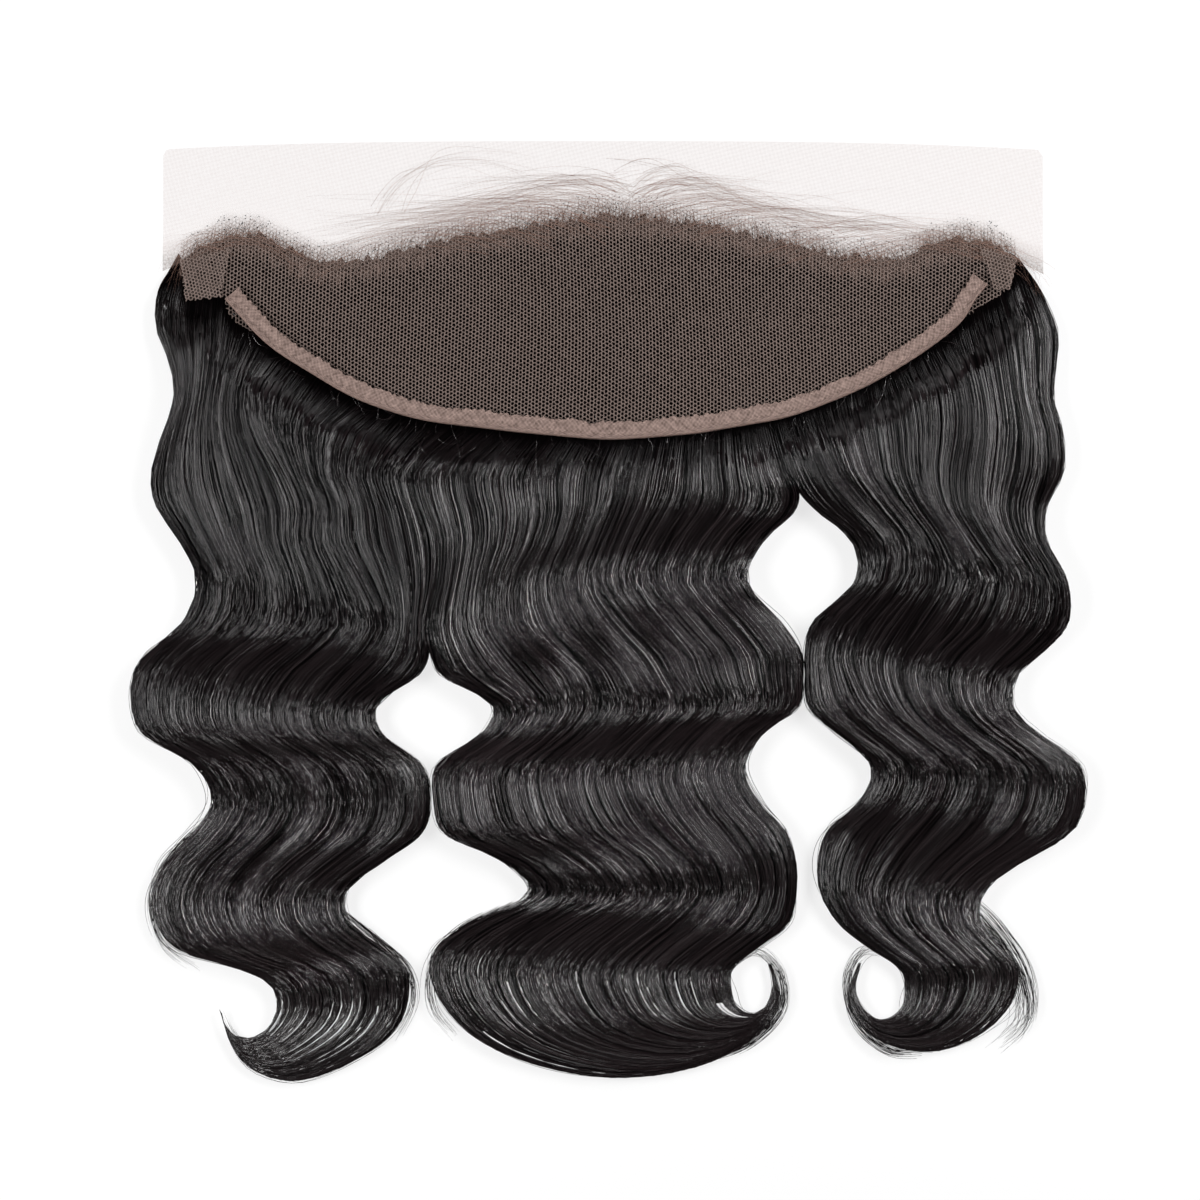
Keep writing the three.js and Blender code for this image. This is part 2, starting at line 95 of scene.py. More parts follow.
LACE_SECTIONS = (
    LaceSection(-1.041, 0.403, 0.437),
    LaceSection(-1.0, 0.395, 0.41),
    LaceSection(-0.983, 0.385, 0.54),
    LaceSection(-0.94, 0.35, 0.533),
    LaceSection(-0.895, 0.317, 0.53),
    LaceSection(-0.885, 0.313, 0.583),
    LaceSection(-0.854, 0.313, 0.63),
    LaceSection(-0.814, 0.313, 0.65),
    LaceSection(-0.768, 0.343, 0.697),
    LaceSection(-0.665, 0.403, 0.787),
    LaceSection(-0.565, 0.403, 0.86),
    LaceSection(-0.465, 0.367, 0.91),
    LaceSection(-0.364, 0.333, 0.94),
    LaceSection(-0.202, 0.29, 0.967),
    LaceSection(-0.051, 0.257, 0.987),
    LaceSection(0.025, 0.24, 0.99),
    LaceSection(0.202, 0.27, 0.977),
    LaceSection(0.338, 0.307, 0.95),
    LaceSection(0.458, 0.34, 0.913),
    LaceSection(0.589, 0.387, 0.843),
    LaceSection(0.716, 0.397, 0.753),
    LaceSection(0.792, 0.347, 0.683),
    LaceSection(0.869, 0.323, 0.603),
    LaceSection(0.935, 0.34, 0.543),
    LaceSection(0.981, 0.377, 0.503),
    LaceSection(1.002, 0.39, 0.403),
    LaceSection(1.062, 0.423, 0.447),
)


class BandPoint(NamedTuple):
    """A point of the ribbon's outer side."""

    across: float
    rear: float


BAND_POINTS = (
    BandPoint(-0.89, 0.533),
    BandPoint(-0.857, 0.587),
    BandPoint(-0.818, 0.647),
    BandPoint(-0.768, 0.707),
    BandPoint(-0.665, 0.797),
    BandPoint(-0.565, 0.87),
    BandPoint(-0.465, 0.92),
    BandPoint(-0.364, 0.95),
    BandPoint(-0.202, 0.977),
    BandPoint(0.025, 1.0),
    BandPoint(0.202, 0.987),
    BandPoint(0.338, 0.96),
    BandPoint(0.458, 0.923),
    BandPoint(0.589, 0.853),
    BandPoint(0.716, 0.763),
    BandPoint(0.792, 0.693),
    BandPoint(0.866, 0.607),
    BandPoint(0.9, 0.53),
    BandPoint(0.926, 0.483),
)


class HankSection(NamedTuple):
    """One row of the hanks: how far down, how high, and where each hank's two sides are."""

    down: float
    height: float
    left_outer: float
    left_inner: float
    center_left: float
    center_right: float
    right_inner: float
    right_outer: float


HANK_SECTIONS = (
    HankSection(0.0, 0.2, -1.0, -0.402, -0.402, 0.45, 0.45, 1.0),
    HankSection(0.03, 0.34, -1.043, -0.402, -0.402, 0.45, 0.45, 1.05),
    HankSection(0.06, 0.45, -1.057, -0.402, -0.402, 0.45, 0.45, 1.074),
    HankSection(0.1, 0.6, -1.055, -0.402, -0.402, 0.45, 0.45, 1.096),
    HankSection(0.15, 0.75, -1.024, -0.402, -0.402, 0.45, 0.45, 1.093),
    HankSection(0.2, 0.85, -1.012, -0.402, -0.402, 0.45, 0.45, 1.086),
    HankSection(0.25, 0.92, -1.038, -0.402, -0.402, 0.45, 0.45, 1.108),
    HankSection(0.3, 0.97, -1.067, -0.402, -0.402, 0.469, 0.469, 1.11),
    HankSection(0.325, 0.99, -1.065, -0.402, -0.402, 0.478, 0.481, 1.085),
    HankSection(0.345, 1.0, -1.05, -0.402, -0.402, 0.47, 0.52, 1.068),
    HankSection(0.38, 1.0, -1.0, -0.402, -0.402, 0.395, 0.605, 1.07),
    HankSection(0.425, 1.0, -0.957, -0.402, -0.402, 0.355, 0.615, 1.12),
    HankSection(0.475, 0.98, -0.993, -0.402, -0.402, 0.44, 0.508, 1.122),
    HankSection(0.51, 0.96, -1.079, -0.404, -0.4, 0.487, 0.492, 1.057),
    HankSection(0.533, 0.95, -1.11, -0.425, -0.38, 0.489, 0.493, 1.0),
    HankSection(0.57, 0.94, -1.115, -0.53, -0.25, 0.48, 0.499, 0.986),
    HankSection(0.6, 0.92, -1.093, -0.523, -0.274, 0.398, 0.563, 1.043),
    HankSection(0.64, 0.92, -0.957, -0.42, -0.39, 0.348, 0.653, 1.151),
    HankSection(0.68, 0.9, -0.919, -0.402, -0.395, 0.381, 0.625, 1.16),
    HankSection(0.715, 0.86, -0.962, -0.418, -0.375, 0.446, 0.546, 1.131),
    HankSection(0.75, 0.8, -1.033, -0.513, -0.225, 0.472, 0.524, 1.012),
    HankSection(0.785, 0.74, -1.064, -0.603, -0.16, 0.472, 0.529, 0.919),
    HankSection(0.82, 0.66, -1.056, -0.594, -0.3, 0.455, 0.57, 0.912),
    HankSection(0.85, 0.6, -1.01, -0.515, -0.387, 0.379, 0.646, 0.964),
    HankSection(0.876, 0.54, -0.84, -0.458, -0.403, 0.314, 0.723, 1.002),
)


class FlowRow(NamedTuple):
    """Where the strands run inside the upper hair: two lines in each hank, and the two seams."""

    down: float
    left_near: float
    left_far: float
    left_seam: float
    center_near: float
    center_far: float
    right_seam: float
    right_near: float
    right_far: float


FLOW_ROWS = (
    FlowRow(0.0, -0.642, -0.331, -0.128, 0.04, 0.185, 0.386, 0.458, 0.733),
    FlowRow(0.1, -0.714, -0.379, -0.164, 0.023, 0.18, 0.391, 0.482, 0.78),
    FlowRow(0.15, -0.77, -0.427, -0.2, 0.004, 0.176, 0.398, 0.5, 0.817),
    FlowRow(0.2, -0.819, -0.51, -0.236, -0.032, 0.166, 0.405, 0.518, 0.852),
    FlowRow(0.25, -0.807, -0.618, -0.307, -0.075, 0.147, 0.425, 0.542, 0.857),
    FlowRow(0.3, -0.752, -0.635, -0.42, -0.138, 0.123, 0.455, 0.58, 0.84),
    FlowRow(0.325, -0.728, -0.616, -0.418, -0.14, 0.111, 0.475, 0.618, 0.843),
    FlowRow(0.345, -0.716, -0.604, -0.405, -0.135, 0.094, 0.48, 0.654, 0.855),
    FlowRow(0.38, -0.721, -0.601, -0.382, -0.152, 0.059, 0.48, 0.709, 0.9),
    FlowRow(0.425, -0.69, -0.551, -0.385, -0.195, 0.032, 0.48, 0.704, 0.958),
    FlowRow(0.475, -0.68, -0.51, -0.41, -0.188, 0.104, 0.48, 0.618, 0.922),
    FlowRow(0.51, -0.764, -0.549, -0.404, -0.126, 0.173, 0.48, 0.589, 0.848),
    FlowRow(0.533, -0.819, -0.6, -0.404, -0.073, 0.195, 0.48, 0.599, 0.821),
)


class CurlRow(NamedTuple):
    """A row of the curl at a hank's end, by its two sides: each is across and down."""

    height: float
    left: tuple[float, float]
    right: tuple[float, float]


LEFT_CURL = (
    CurlRow(0.5, (-0.78, 0.894), (-0.462, 0.925)),
    CurlRow(0.46, (-0.766, 0.914), (-0.51, 0.957)),
    CurlRow(0.42, (-0.78, 0.936), (-0.63, 0.991)),
    CurlRow(0.36, (-0.814, 0.953), (-0.737, 1.004)),
    CurlRow(0.28, (-0.857, 0.955), (-0.838, 0.987)),
    CurlRow(0.22, (-0.89, 0.94), (-0.883, 0.955)),
    CurlRow(0.18, (-0.905, 0.921), (-0.899, 0.925)),
)
CENTER_CURL = (
    CurlRow(0.5, (-0.37, 0.917), (0.318, 0.9)),
    CurlRow(0.46, (-0.285, 0.957), (0.325, 0.914)),
    CurlRow(0.42, (-0.135, 0.987), (0.343, 0.923)),
    CurlRow(0.38, (0.051, 1.0), (0.362, 0.926)),
    CurlRow(0.34, (0.243, 0.986), (0.384, 0.925)),
    CurlRow(0.3, (0.367, 0.955), (0.403, 0.914)),
    CurlRow(0.25, (0.434, 0.914), (0.417, 0.893)),
    CurlRow(0.18, (0.411, 0.866), (0.405, 0.868)),
)
RIGHT_CURL = (
    CurlRow(0.5, (0.732, 0.897), (0.988, 0.911)),
    CurlRow(0.46, (0.725, 0.918), (0.924, 0.946)),
    CurlRow(0.42, (0.697, 0.931), (0.811, 0.969)),
    CurlRow(0.36, (0.663, 0.932), (0.697, 0.963)),
    CurlRow(0.3, (0.63, 0.918), (0.625, 0.939)),
    CurlRow(0.25, (0.613, 0.897), (0.596, 0.906)),
    CurlRow(0.18, (0.627, 0.867), (0.621, 0.867)),
)


def smooth_curve(points: Array, samples: int) -> Array:
    """A smooth curve through points, like the solids' sides: its knots are spaced by the root of each chord.

    Args:
        points: the points, one a row.
        samples: how many points to give, evenly spaced from row to row.

    Returns:
        The curve's points, one a row.
    """
    ends = np.vstack([2 * points[0] - points[1], points, 2 * points[-1] - points[-2]])
    place = np.linspace(0, len(points) - 1, samples)
    low = np.minimum(place.astype(int), len(points) - 2)
    part = (place - low)[:, None]
    p0, p1, p2, p3 = (ends[low + k] for k in range(4))
    step = [np.sqrt(np.linalg.norm(b - a, axis=1))[:, None] for a, b in ((p0, p1), (p1, p2), (p2, p3))]
    d0, d1, d2 = (np.maximum(d, NO_LENGTH) for d in step)
    t1 = ((p1 - p0) / d0 - (p2 - p0) / (d0 + d1) + (p2 - p1) / d1) * d1
    t2 = ((p2 - p1) / d1 - (p3 - p1) / (d1 + d2) + (p3 - p2) / d2) * d1
    square = -3 * p1 + 3 * p2 - 2 * t1 - t2
    cube = 2 * p1 - 2 * p2 + t1 + t2
    return p1 + t1 * part + square * part**2 + cube * part**3


def even_steps(curve: Array, samples: int) -> Array:
    """Points at even distances along a curve.

    Args:
        curve: the curve's points, one a row.
        samples: how many points to give.

    Returns:
        The new points, one a row.
    """
    along = np.concatenate([[0], np.cumsum(np.linalg.norm(np.diff(curve, axis=0), axis=1))])
    wanted = np.linspace(0, along[-1], samples)
    return np.stack([np.interp(wanted, along, curve[:, k]) for k in range(curve.shape[1])], axis=1)


@dataclass(frozen=True)
class Cloth:
    """The lace as it lies: its outline, and the height of its underside over the hair.

    x runs from ear to ear and y back from the front edge, so y is negative on the cloth.
    """

    half_width: float
    depth: float
    origin_x: float
    origin_y: float
    root_height: float
    peak: float
    wall: float = 1 * MM
    rear_rise: float = 1.011
    front_bow: float = 3.5 * MM
    front_corner: float = 2.5 * MM
    root_lead: float = 15 * MM
    shadow_width: float = 7 * MM
    shadow_rise: float = 0.6
    bed_gap: float = 0.4 * MM

    @classmethod
    def from_frame(cls) -> "Cloth":
        """Works the cloth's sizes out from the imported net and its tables."""
        low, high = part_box("lace_sheet")
        half_width = (high.x - low.x) / (LACE_SECTIONS[-1].across - LACE_SECTIONS[0].across)
        depth = (high.y - low.y) / max(row.rear for row in LACE_SECTIONS)
        peak = -depth * min(row.hairline for row in LACE_SECTIONS)
        return cls(
            half_width=half_width,
            depth=depth,
            origin_x=low.x - LACE_SECTIONS[0].across * half_width,
            origin_y=high.y,
            root_height=(high.z - low.z - cls.wall) * cls.rear_rise,
            peak=peak,
        )

    @property
    def root_depth(self) -> float:
        """From the foremost hair to the rear edge."""
        return self.depth + self.peak

    def _between(self, key: str, x: Array) -> Array:
        """A value of the cloth's table at x, as a place behind the front edge."""
        across = [row.across for row in LACE_SECTIONS]
        values = [getattr(row, key) for row in LACE_SECTIONS]
        return -self.depth * np.interp(np.asarray(x) / self.half_width, across, values)

    def hairline(self, x: Array) -> Array:
        """Where the hair starts."""
        return self._between("hairline", x)

    def rear(self, x: Array) -> Array:
        """Where the cloth ends."""
        return self._between("rear", x)

    def front(self, x: Array) -> Array:
        """The bowed front edge, with its two rounded corners."""
        ends = (LACE_SECTIONS[0].across * self.half_width, LACE_SECTIONS[-1].across * self.half_width)
        inward = np.minimum(np.asarray(x) - ends[0], ends[1] - np.asarray(x))
        short = np.clip(1 - inward / self.front_corner, 0, 1)
        rounded = self.front_corner * (1 - np.sqrt(1 - short**2))
        return -self.front_bow * np.abs(np.asarray(x) / ends[1]) ** 3 - rounded

    def bed(self, x: Array, y: Array) -> Array:
        """Height of the cloth's underside: on the surface in front, then rising evenly over the hair."""
        behind = np.maximum(0, self.hairline(x) + self.root_lead - y)
        return self.root_height * behind / (self.root_lead + self.root_depth)

    def ceiling(self, x: Array, y: Array) -> Array:
        """The highest that the hair may be under the cloth and right behind it."""
        aside = self.shadow_width
        cover = np.minimum(np.minimum(self.rear(x - aside), self.rear(x + aside)), self.rear(x))
        past = np.maximum(0, cover - self.shadow_width - y)
        return self.bed(x, y) - self.bed_gap + self.shadow_rise * past

    def place(self, x: Array, y: Array, z: Array) -> Array:
        """Points of the row frame, with their coordinates on the last axis."""
        return np.stack(np.broadcast_arrays(x + self.origin_x, y + self.origin_y, z), axis=-1)


@dataclass(frozen=True)
class Ripple:
    """A smooth field over across and along, from a few waves with seeded phases."""

    waves: Array
    strength: float = 0.6

    @classmethod
    def seeded(
        cls,
        seed: int,
        across: tuple[float, float],
        along: tuple[float, float],
        count: int,
    ) -> "Ripple":
        """Draws the waves.

        Args:
            seed: the seed of the draws.
            across: the least and the most waves from side to side.
            along: the least and the most waves from end to end.
            count: how many waves.

        Returns:
            The field, whose values are mostly from -1 to 1.
        """
        rng = np.random.default_rng(seed)
        waves = np.stack(
            [
                rng.uniform(*across, count),
                rng.uniform(*along, count) * rng.choice([-1, 1], count),
                rng.uniform(0, 2 * math.pi, count),
            ],
            axis=1,
        )
        return cls(waves)

    def __call__(self, u: Array, v: Array) -> Array:
        """The field's value at u across and v along."""
        total = sum(np.sin(2 * math.pi * (a * u + b * v) + c) for a, b, c in self.waves)
        return total / math.sqrt(len(self.waves) / 2) * self.strength


def seat_object(mesh: bpy.types.Mesh, material: bpy.types.Material) -> bpy.types.Object:
    """Makes a mesh a piece of the frontal, with the mesh's name.

    Args:
        mesh: its mesh, in the row frame.
        material: its finish.

    Returns:
        The piece, riding on the frontal's one body.
    """
    piece = bpy.data.objects.new(mesh.name, mesh)
    bpy.context.scene.collection.objects.link(piece)
    return finish_piece(piece, material)


def finish_piece(piece: bpy.types.Object, material: bpy.types.Material) -> bpy.types.Object:
    """Dresses a piece, fixes it to the frontal's body and reports it."""
    piece.data.materials.clear()
    piece.data.materials.append(material)
    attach(piece, "root")
    triangles = sum(len(face.vertices) - 2 for face in piece.data.polygons)
    LOG.info("%s: %d triangles", piece.name, triangles)
    return piece


def store_values(mesh: bpy.types.Mesh, name: str, values: Array) -> None:
    """Keeps a number for each vertex, such as how glossy the hair is there and how much shade is painted on
    it, for the material to read.
    """
    layer = mesh.attributes.new(name, "FLOAT", "POINT")
    layer.data.foreach_set("value", np.asarray(values, np.float32).ravel())


def mesh_from(
    name: str,
    vertices: Array,
    quads: Array,
    triangles: Array,
    uv: Array | None = None,
    gloss_and_painted_shade: Array | None = None,
) -> bpy.types.Mesh:
    """A smooth mesh from arrays.

    Args:
        name: the mesh's name.
        vertices: one vertex a row.
        quads: four vertex numbers a row.
        triangles: three vertex numbers a row.
        uv: one UV point for each vertex, or None.
        gloss_and_painted_shade: how glossy the hair is at each vertex and how much shade is painted there,
            or None.

    Returns:
        The mesh.
    """
    mesh = bpy.data.meshes.new(name)
    corners = np.concatenate([quads.ravel(), triangles.ravel()]).astype(np.int32)
    starts = np.concatenate([np.arange(len(quads)) * 4, len(quads) * 4 + np.arange(len(triangles)) * 3])
    mesh.vertices.add(len(vertices))
    mesh.vertices.foreach_set("co", np.asarray(vertices, np.float32).ravel())
    mesh.loops.add(len(corners))
    mesh.loops.foreach_set("vertex_index", corners)
    mesh.polygons.add(len(starts))
    mesh.polygons.foreach_set("loop_start", starts.astype(np.int32))
    if uv is not None:
        layer = mesh.uv_layers.new(name="UVMap")
        layer.uv.foreach_set("vector", np.asarray(uv, np.float32)[corners].ravel())
    if gloss_and_painted_shade is not None:
        store_values(mesh, "gloss_and_painted_shade", gloss_and_painted_shade)
    mesh.update(calc_edges=True)
    mesh.validate()
    mesh.shade_smooth()
    return mesh


def closed_sheet(name: str, top: Array, base: Array, cut: Array | None = None) -> bpy.types.Object:
    """A closed body between two grids of points: a grid laid on the base and extruded up to the top.

    Args:
        name: the piece's name.
        top: the upper side, rows by columns by three.
        base: the lower side, of the same shape.
        cut: which cells are left out, a row of cells a row, or None.

    Returns:
        The piece, with a UV map that runs along its columns and rows.
    """
    rows, columns, _ = top.shape
    bpy.ops.object.select_all(action="DESELECT")
    bpy.ops.mesh.primitive_grid_add(x_subdivisions=columns - 1, y_subdivisions=rows - 1, size=1)
    piece = bpy.context.object
    piece.name = name
    piece.data.name = name
    piece.data.vertices.foreach_set("co", base.astype(np.float32).ravel())
    bpy.ops.object.mode_set(mode="EDIT")
    if cut is not None:
        bpy.ops.mesh.select_mode(type="FACE")
        bpy.ops.mesh.select_all(action="DESELECT")
        bpy.ops.object.mode_set(mode="OBJECT")
        piece.data.polygons.foreach_set("select", cut.ravel())
        bpy.ops.object.mode_set(mode="EDIT")
        bpy.ops.mesh.delete(type="FACE")
    bpy.ops.mesh.select_mode(type="VERT")
    bpy.ops.mesh.select_all(action="SELECT")
    bpy.ops.mesh.extrude_region_move(TRANSFORM_OT_translate={"value": (0, 0, MM)})
    bpy.ops.object.mode_set(mode="OBJECT")
    points = np.concatenate([base.reshape(-1, 3), top.reshape(-1, 3)])
    piece.data.vertices.foreach_set("co", points.astype(np.float32).ravel())
    bpy.ops.object.mode_set(mode="EDIT")
    bpy.ops.mesh.select_all(action="SELECT")
    bpy.ops.mesh.normals_make_consistent(inside=False)
    bpy.ops.object.mode_set(mode="OBJECT")
    piece.data.update()
    bpy.ops.object.shade_smooth_by_angle(angle=SMOOTH_ANGLE)
    return piece


@dataclass
class TubeSet:
    """Many thin hairs, each a closed three-sided tube along its own path.

    The first corner of a tube is turned a little off its side.
    """

    paths: Array
    radii: Array
    shades: Array
    # how glossy each point is, and how much shade is painted there
    gloss_and_painted_shade: Array | None = None
    sides: int = 3
    turn: float = 0.25

    def arrays(self) -> tuple[Array, Array, Array, Array]:
        """The vertices, quads, end triangles and UV points of all the tubes."""
        count, steps, _ = self.paths.shape
        along = np.gradient(self.paths, axis=1)
        along /= np.maximum(np.linalg.norm(along, axis=2, keepdims=True), NO_LENGTH)
        side = np.cross(along, (0.0, 0.0, 1.0))
        side /= np.maximum(np.linalg.norm(side, axis=2, keepdims=True), NO_LENGTH)
        normal = np.cross(side, along)
        angles = 2 * math.pi * (np.arange(self.sides) + self.turn) / self.sides
        ring = np.cos(angles)[:, None] * side[:, :, None] + np.sin(angles)[:, None] * normal[:, :, None]
        vertices = self.paths[:, :, None] + self.radii[:, :, None, None] * ring
        number = np.arange(count * steps * self.sides).reshape(count, steps, self.sides)
        turned = np.roll(number, -1, axis=2)
        quads = np.stack([number[:, :-1], turned[:, :-1], turned[:, 1:], number[:, 1:]], axis=-1)
        fans = []
        for caps in (number[:, 0], number[:, -1, ::-1]):
            for k in range(1, self.sides - 1):
                fans.append(np.stack([caps[:, 0], caps[:, k + 1], caps[:, k]], axis=-1))
        run = np.broadcast_to(np.linspace(0, 1, steps)[None, :, None], number.shape)
        shade = np.broadcast_to(self.shades[:, None, None], number.shape)
        uv = np.stack([shade, run], axis=-1)
        return vertices.reshape(-1, 3), quads.reshape(-1, 4), np.concatenate(fans), uv.reshape(-1, 2)

    def mesh(self, name: str) -> bpy.types.Mesh:
        """All the tubes as one mesh."""
        vertices, quads, triangles, uv = self.arrays()
        gloss_and_painted_shade = None if self.gloss_and_painted_shade is None else np.repeat(self.gloss_and_painted_shade.ravel(), self.sides)
        return mesh_from(name, vertices, quads, triangles, uv, gloss_and_painted_shade)


class Graph:
    """A node tree under construction."""

    def __init__(self, tree: bpy.types.NodeTree) -> None:
        """Starts on an empty tree."""
        self.tree = tree
        tree.nodes.clear()

    def add(self, kind: str, inputs: dict | None = None, **settings: object) -> bpy.types.Node:
        """Adds a node.

        Args:
            kind: the node's type, without its ShaderNode part.
            inputs: values, or sockets to link, by the name or number of the input.
            settings: the node's own properties.

        Returns:
            The node.
        """
        prefix = "" if kind.startswith("NodeGroup") else "ShaderNode"
        node = self.tree.nodes.new(prefix + kind)
        for key, value in settings.items():
            setattr(node, key, value)
        for key, value in (inputs or {}).items():
            if isinstance(value, bpy.types.NodeSocket):
                self.tree.links.new(value, node.inputs[key])
            else:
                node.inputs[key].default_value = value
        return node

    def plus(self, first: object, second: object) -> bpy.types.NodeSocket:
        """A sum of two numbers."""
        return self.add("Math", {0: first, 1: second}, operation="ADD").outputs[0]

    def times(self, first: object, second: object) -> bpy.types.NodeSocket:
        """A product of two numbers."""
        return self.add("Math", {0: first, 1: second}, operation="MULTIPLY").outputs[0]

    def wave(self, number: object) -> bpy.types.NodeSocket:
        """A sine wave whose length is one."""
        return self.add("Math", {0: self.times(number, 2 * math.pi)}, operation="SINE").outputs[0]

    def mix(self, factor: object, first: object, second: object) -> bpy.types.NodeSocket:
        """A mix of two colours."""
        return self.add("Mix", {0: factor, 6: first, 7: second}, data_type="RGBA").outputs[2]

    def spread(self, value: object, span: Span, onto: Span = (0.0, 1.0)) -> bpy.types.NodeSocket:
        """A value moved from one span onto another, and kept inside it."""
        inputs = {0: value, 1: span[0], 2: span[1], 3: onto[0], 4: onto[1]}
        return self.add("MapRange", inputs).outputs[0]

    def noise(
        self,
        place: object,
        scale: float,
        detail: float,
        roughness: float = 0.5,
    ) -> bpy.types.NodeSocket:
        """A noise, by its place, scale, detail and roughness."""
        inputs = {"Vector": place, "Scale": scale, "Detail": detail, "Roughness": roughness}
        return self.add("TexNoise", inputs).outputs[0]

    def plane(self, x: object, y: object) -> bpy.types.NodeSocket:
        """A place from its x and y."""
        return self.add("CombineXYZ", {0: x, 1: y}).outputs[0]

    def attribute(self, name: str) -> bpy.types.NodeSocket:
        """A number that the mesh keeps for each vertex."""
        return self.add("Attribute", attribute_name=name, attribute_type="GEOMETRY").outputs["Fac"]

    def group(self, tree: bpy.types.NodeTree, place: object, values: dict[str, float]) -> bpy.types.Node:
        """A node group, by its place and its own values."""
        return self.add("Group", {"Vector": place, **values}, node_tree=tree)

    def bump(self, height: object, distance: float) -> bpy.types.NodeSocket:
        """A normal from a height."""
        return self.add("Bump", {"Height": height, "Strength": 1.0, "Distance": distance}).outputs[0]

    def surface(self, inputs: dict[str, object]) -> None:
        """Ends a material's tree with a shader that has these inputs."""
        shader = self.add("BsdfPrincipled", inputs)
        self.add("OutputMaterial", {0: shader.outputs[0]})


def shader_group(
    name: str,
    inputs: dict[str, tuple[str, object]],
    outputs: dict[str, str],
) -> bpy.types.NodeTree:
    """An empty node group with its sockets.

    Args:
        name: the group's name.
        inputs: each input's kind and default value, by name.
        outputs: each output's kind, by name.

    Returns:
        The group's tree.
    """
    tree = bpy.data.node_groups.new(name, "ShaderNodeTree")
    for key, (kind, value) in inputs.items():
        socket = tree.interface.new_socket(key, in_out="INPUT", socket_type="NodeSocket" + kind)
        if value is not None:
            socket.default_value = value
    for key, kind in outputs.items():
        tree.interface.new_socket(key, in_out="OUTPUT", socket_type="NodeSocket" + kind)
    return tree


def streak_group() -> bpy.types.NodeTree:
    """Streaks that run along the hair: fine ones within broad ones, as a shade and a height."""
    tree = shader_group(
        "HairStreaks",
        {"Vector": ("Vector", None), "Across": ("Float", 100.0), "Along": ("Float", 3.0)},
        {"Shade": "Float", "Height": "Float"},
    )
    broad_width, broad_strength = 0.13, 0.6
    graph = Graph(tree)
    entry = graph.add("NodeGroupInput").outputs
    split = graph.add("SeparateXYZ", {0: entry["Vector"]}).outputs
    x = graph.times(split[0], entry["Across"])
    y = graph.times(split[1], entry["Along"])
    fine = graph.noise(graph.plane(x, y), scale=1.0, detail=4.0, roughness=0.6)
    broad = graph.noise(graph.plane(graph.times(x, broad_width), y), scale=1.0, detail=2.0)
    sharp = graph.spread(fine, (0.4, 0.6))
    wide = graph.spread(broad, (0.3, 0.7))
    shade = graph.times(sharp, graph.plus(graph.times(wide, broad_strength), 1 - broad_strength))
    graph.add("NodeGroupOutput", {"Shade": shade, "Height": fine})
    return tree


def weave_group() -> bpy.types.NodeTree:
    """A weave of crossing threads, with slubs: how much thread there is, and its height."""
    threads = {"Warp": ("Float", 100.0), "Weft": ("Float", 100.0), "Slub": ("Float", 0.4)}
    tree = shader_group(
        "Weave",
        {"Vector": ("Vector", None), **threads},
        {"Thread": "Float", "Height": "Float"},
    )
    graph = Graph(tree)
    entry = graph.add("NodeGroupInput").outputs
    split = graph.add("SeparateXYZ", {0: entry["Vector"]}).outputs
    warp = graph.times(split[0], entry["Warp"])
    weft = graph.times(split[1], entry["Weft"])
    slubs = graph.noise(graph.plane(warp, weft), scale=0.9, detail=3.0)
    crossing = graph.times(graph.wave(warp), graph.wave(weft))
    regular = graph.spread(crossing, (-1.0, 1.0))
    uneven = graph.spread(slubs, (0.3, 0.7))
    mixed = graph.add("Mix", {0: entry["Slub"], 2: regular, 3: uneven}, data_type="FLOAT").outputs[0]
    graph.add("NodeGroupOutput", {"Thread": mixed, "Height": mixed})
    return tree


def new_material(name: str) -> tuple[bpy.types.Material, Graph]:
    """A material with an empty node tree."""
    material = bpy.data.materials.new(name)
    material.use_nodes = True
    return material, Graph(material.node_tree)


@dataclass(frozen=True)
class HairFinish:
    """Dark hair with a satin sheen, streaked along its length, with painted shade: where a vertex is marked
    dull, its coat goes and its base colour is painted darker.
    """

    name: str
    streaks: bpy.types.NodeTree
    dark: Color = (0.0012, 0.001, 0.0011, 1)
    light: Color = (0.033, 0.0205, 0.0225, 1)
    # how far towards the light colour the hair may still go where the most shade is painted
    least_painted_light: float = 0.1
    roughness: float = 0.6
    least_coat: float = 0.04
    coat_roughness: float = 0.24
    coat_ior: float = 3.05
    across: float = 260.0
    along: float = 5.0
    relief: float = 0.0

    def material(self) -> bpy.types.Material:
        """Builds the material."""
        material, graph = new_material(self.name)
        place = graph.add("UVMap", uv_map="UVMap").outputs[0]
        streaks = graph.group(self.streaks, place, {"Across": self.across, "Along": self.along}).outputs
        gloss_and_painted_shade = graph.attribute("gloss_and_painted_shade")
        # painted shade: where the hair is marked dull, under and behind the cloth, the base colour is drawn
        # to the dark one and the coat is taken away
        painted_shading = graph.spread(gloss_and_painted_shade, (0.0, 1.0), (self.least_painted_light, 1.0))
        streaked = graph.spread(streaks["Shade"], (0.0, 1.0), (self.least_coat, 1.0))
        inputs = {
            "Base Color": graph.mix(graph.times(streaks["Shade"], painted_shading), self.dark, self.light),
            "Roughness": self.roughness,
            "Specular IOR Level": 0.0,
            "Coat Weight": graph.times(gloss_and_painted_shade, streaked),
            "Coat Roughness": self.coat_roughness,
            "Coat IOR": self.coat_ior,
        }
        if self.relief > 0:
            inputs["Normal"] = graph.bump(streaks["Height"], self.relief)
        graph.surface(inputs)
        return material


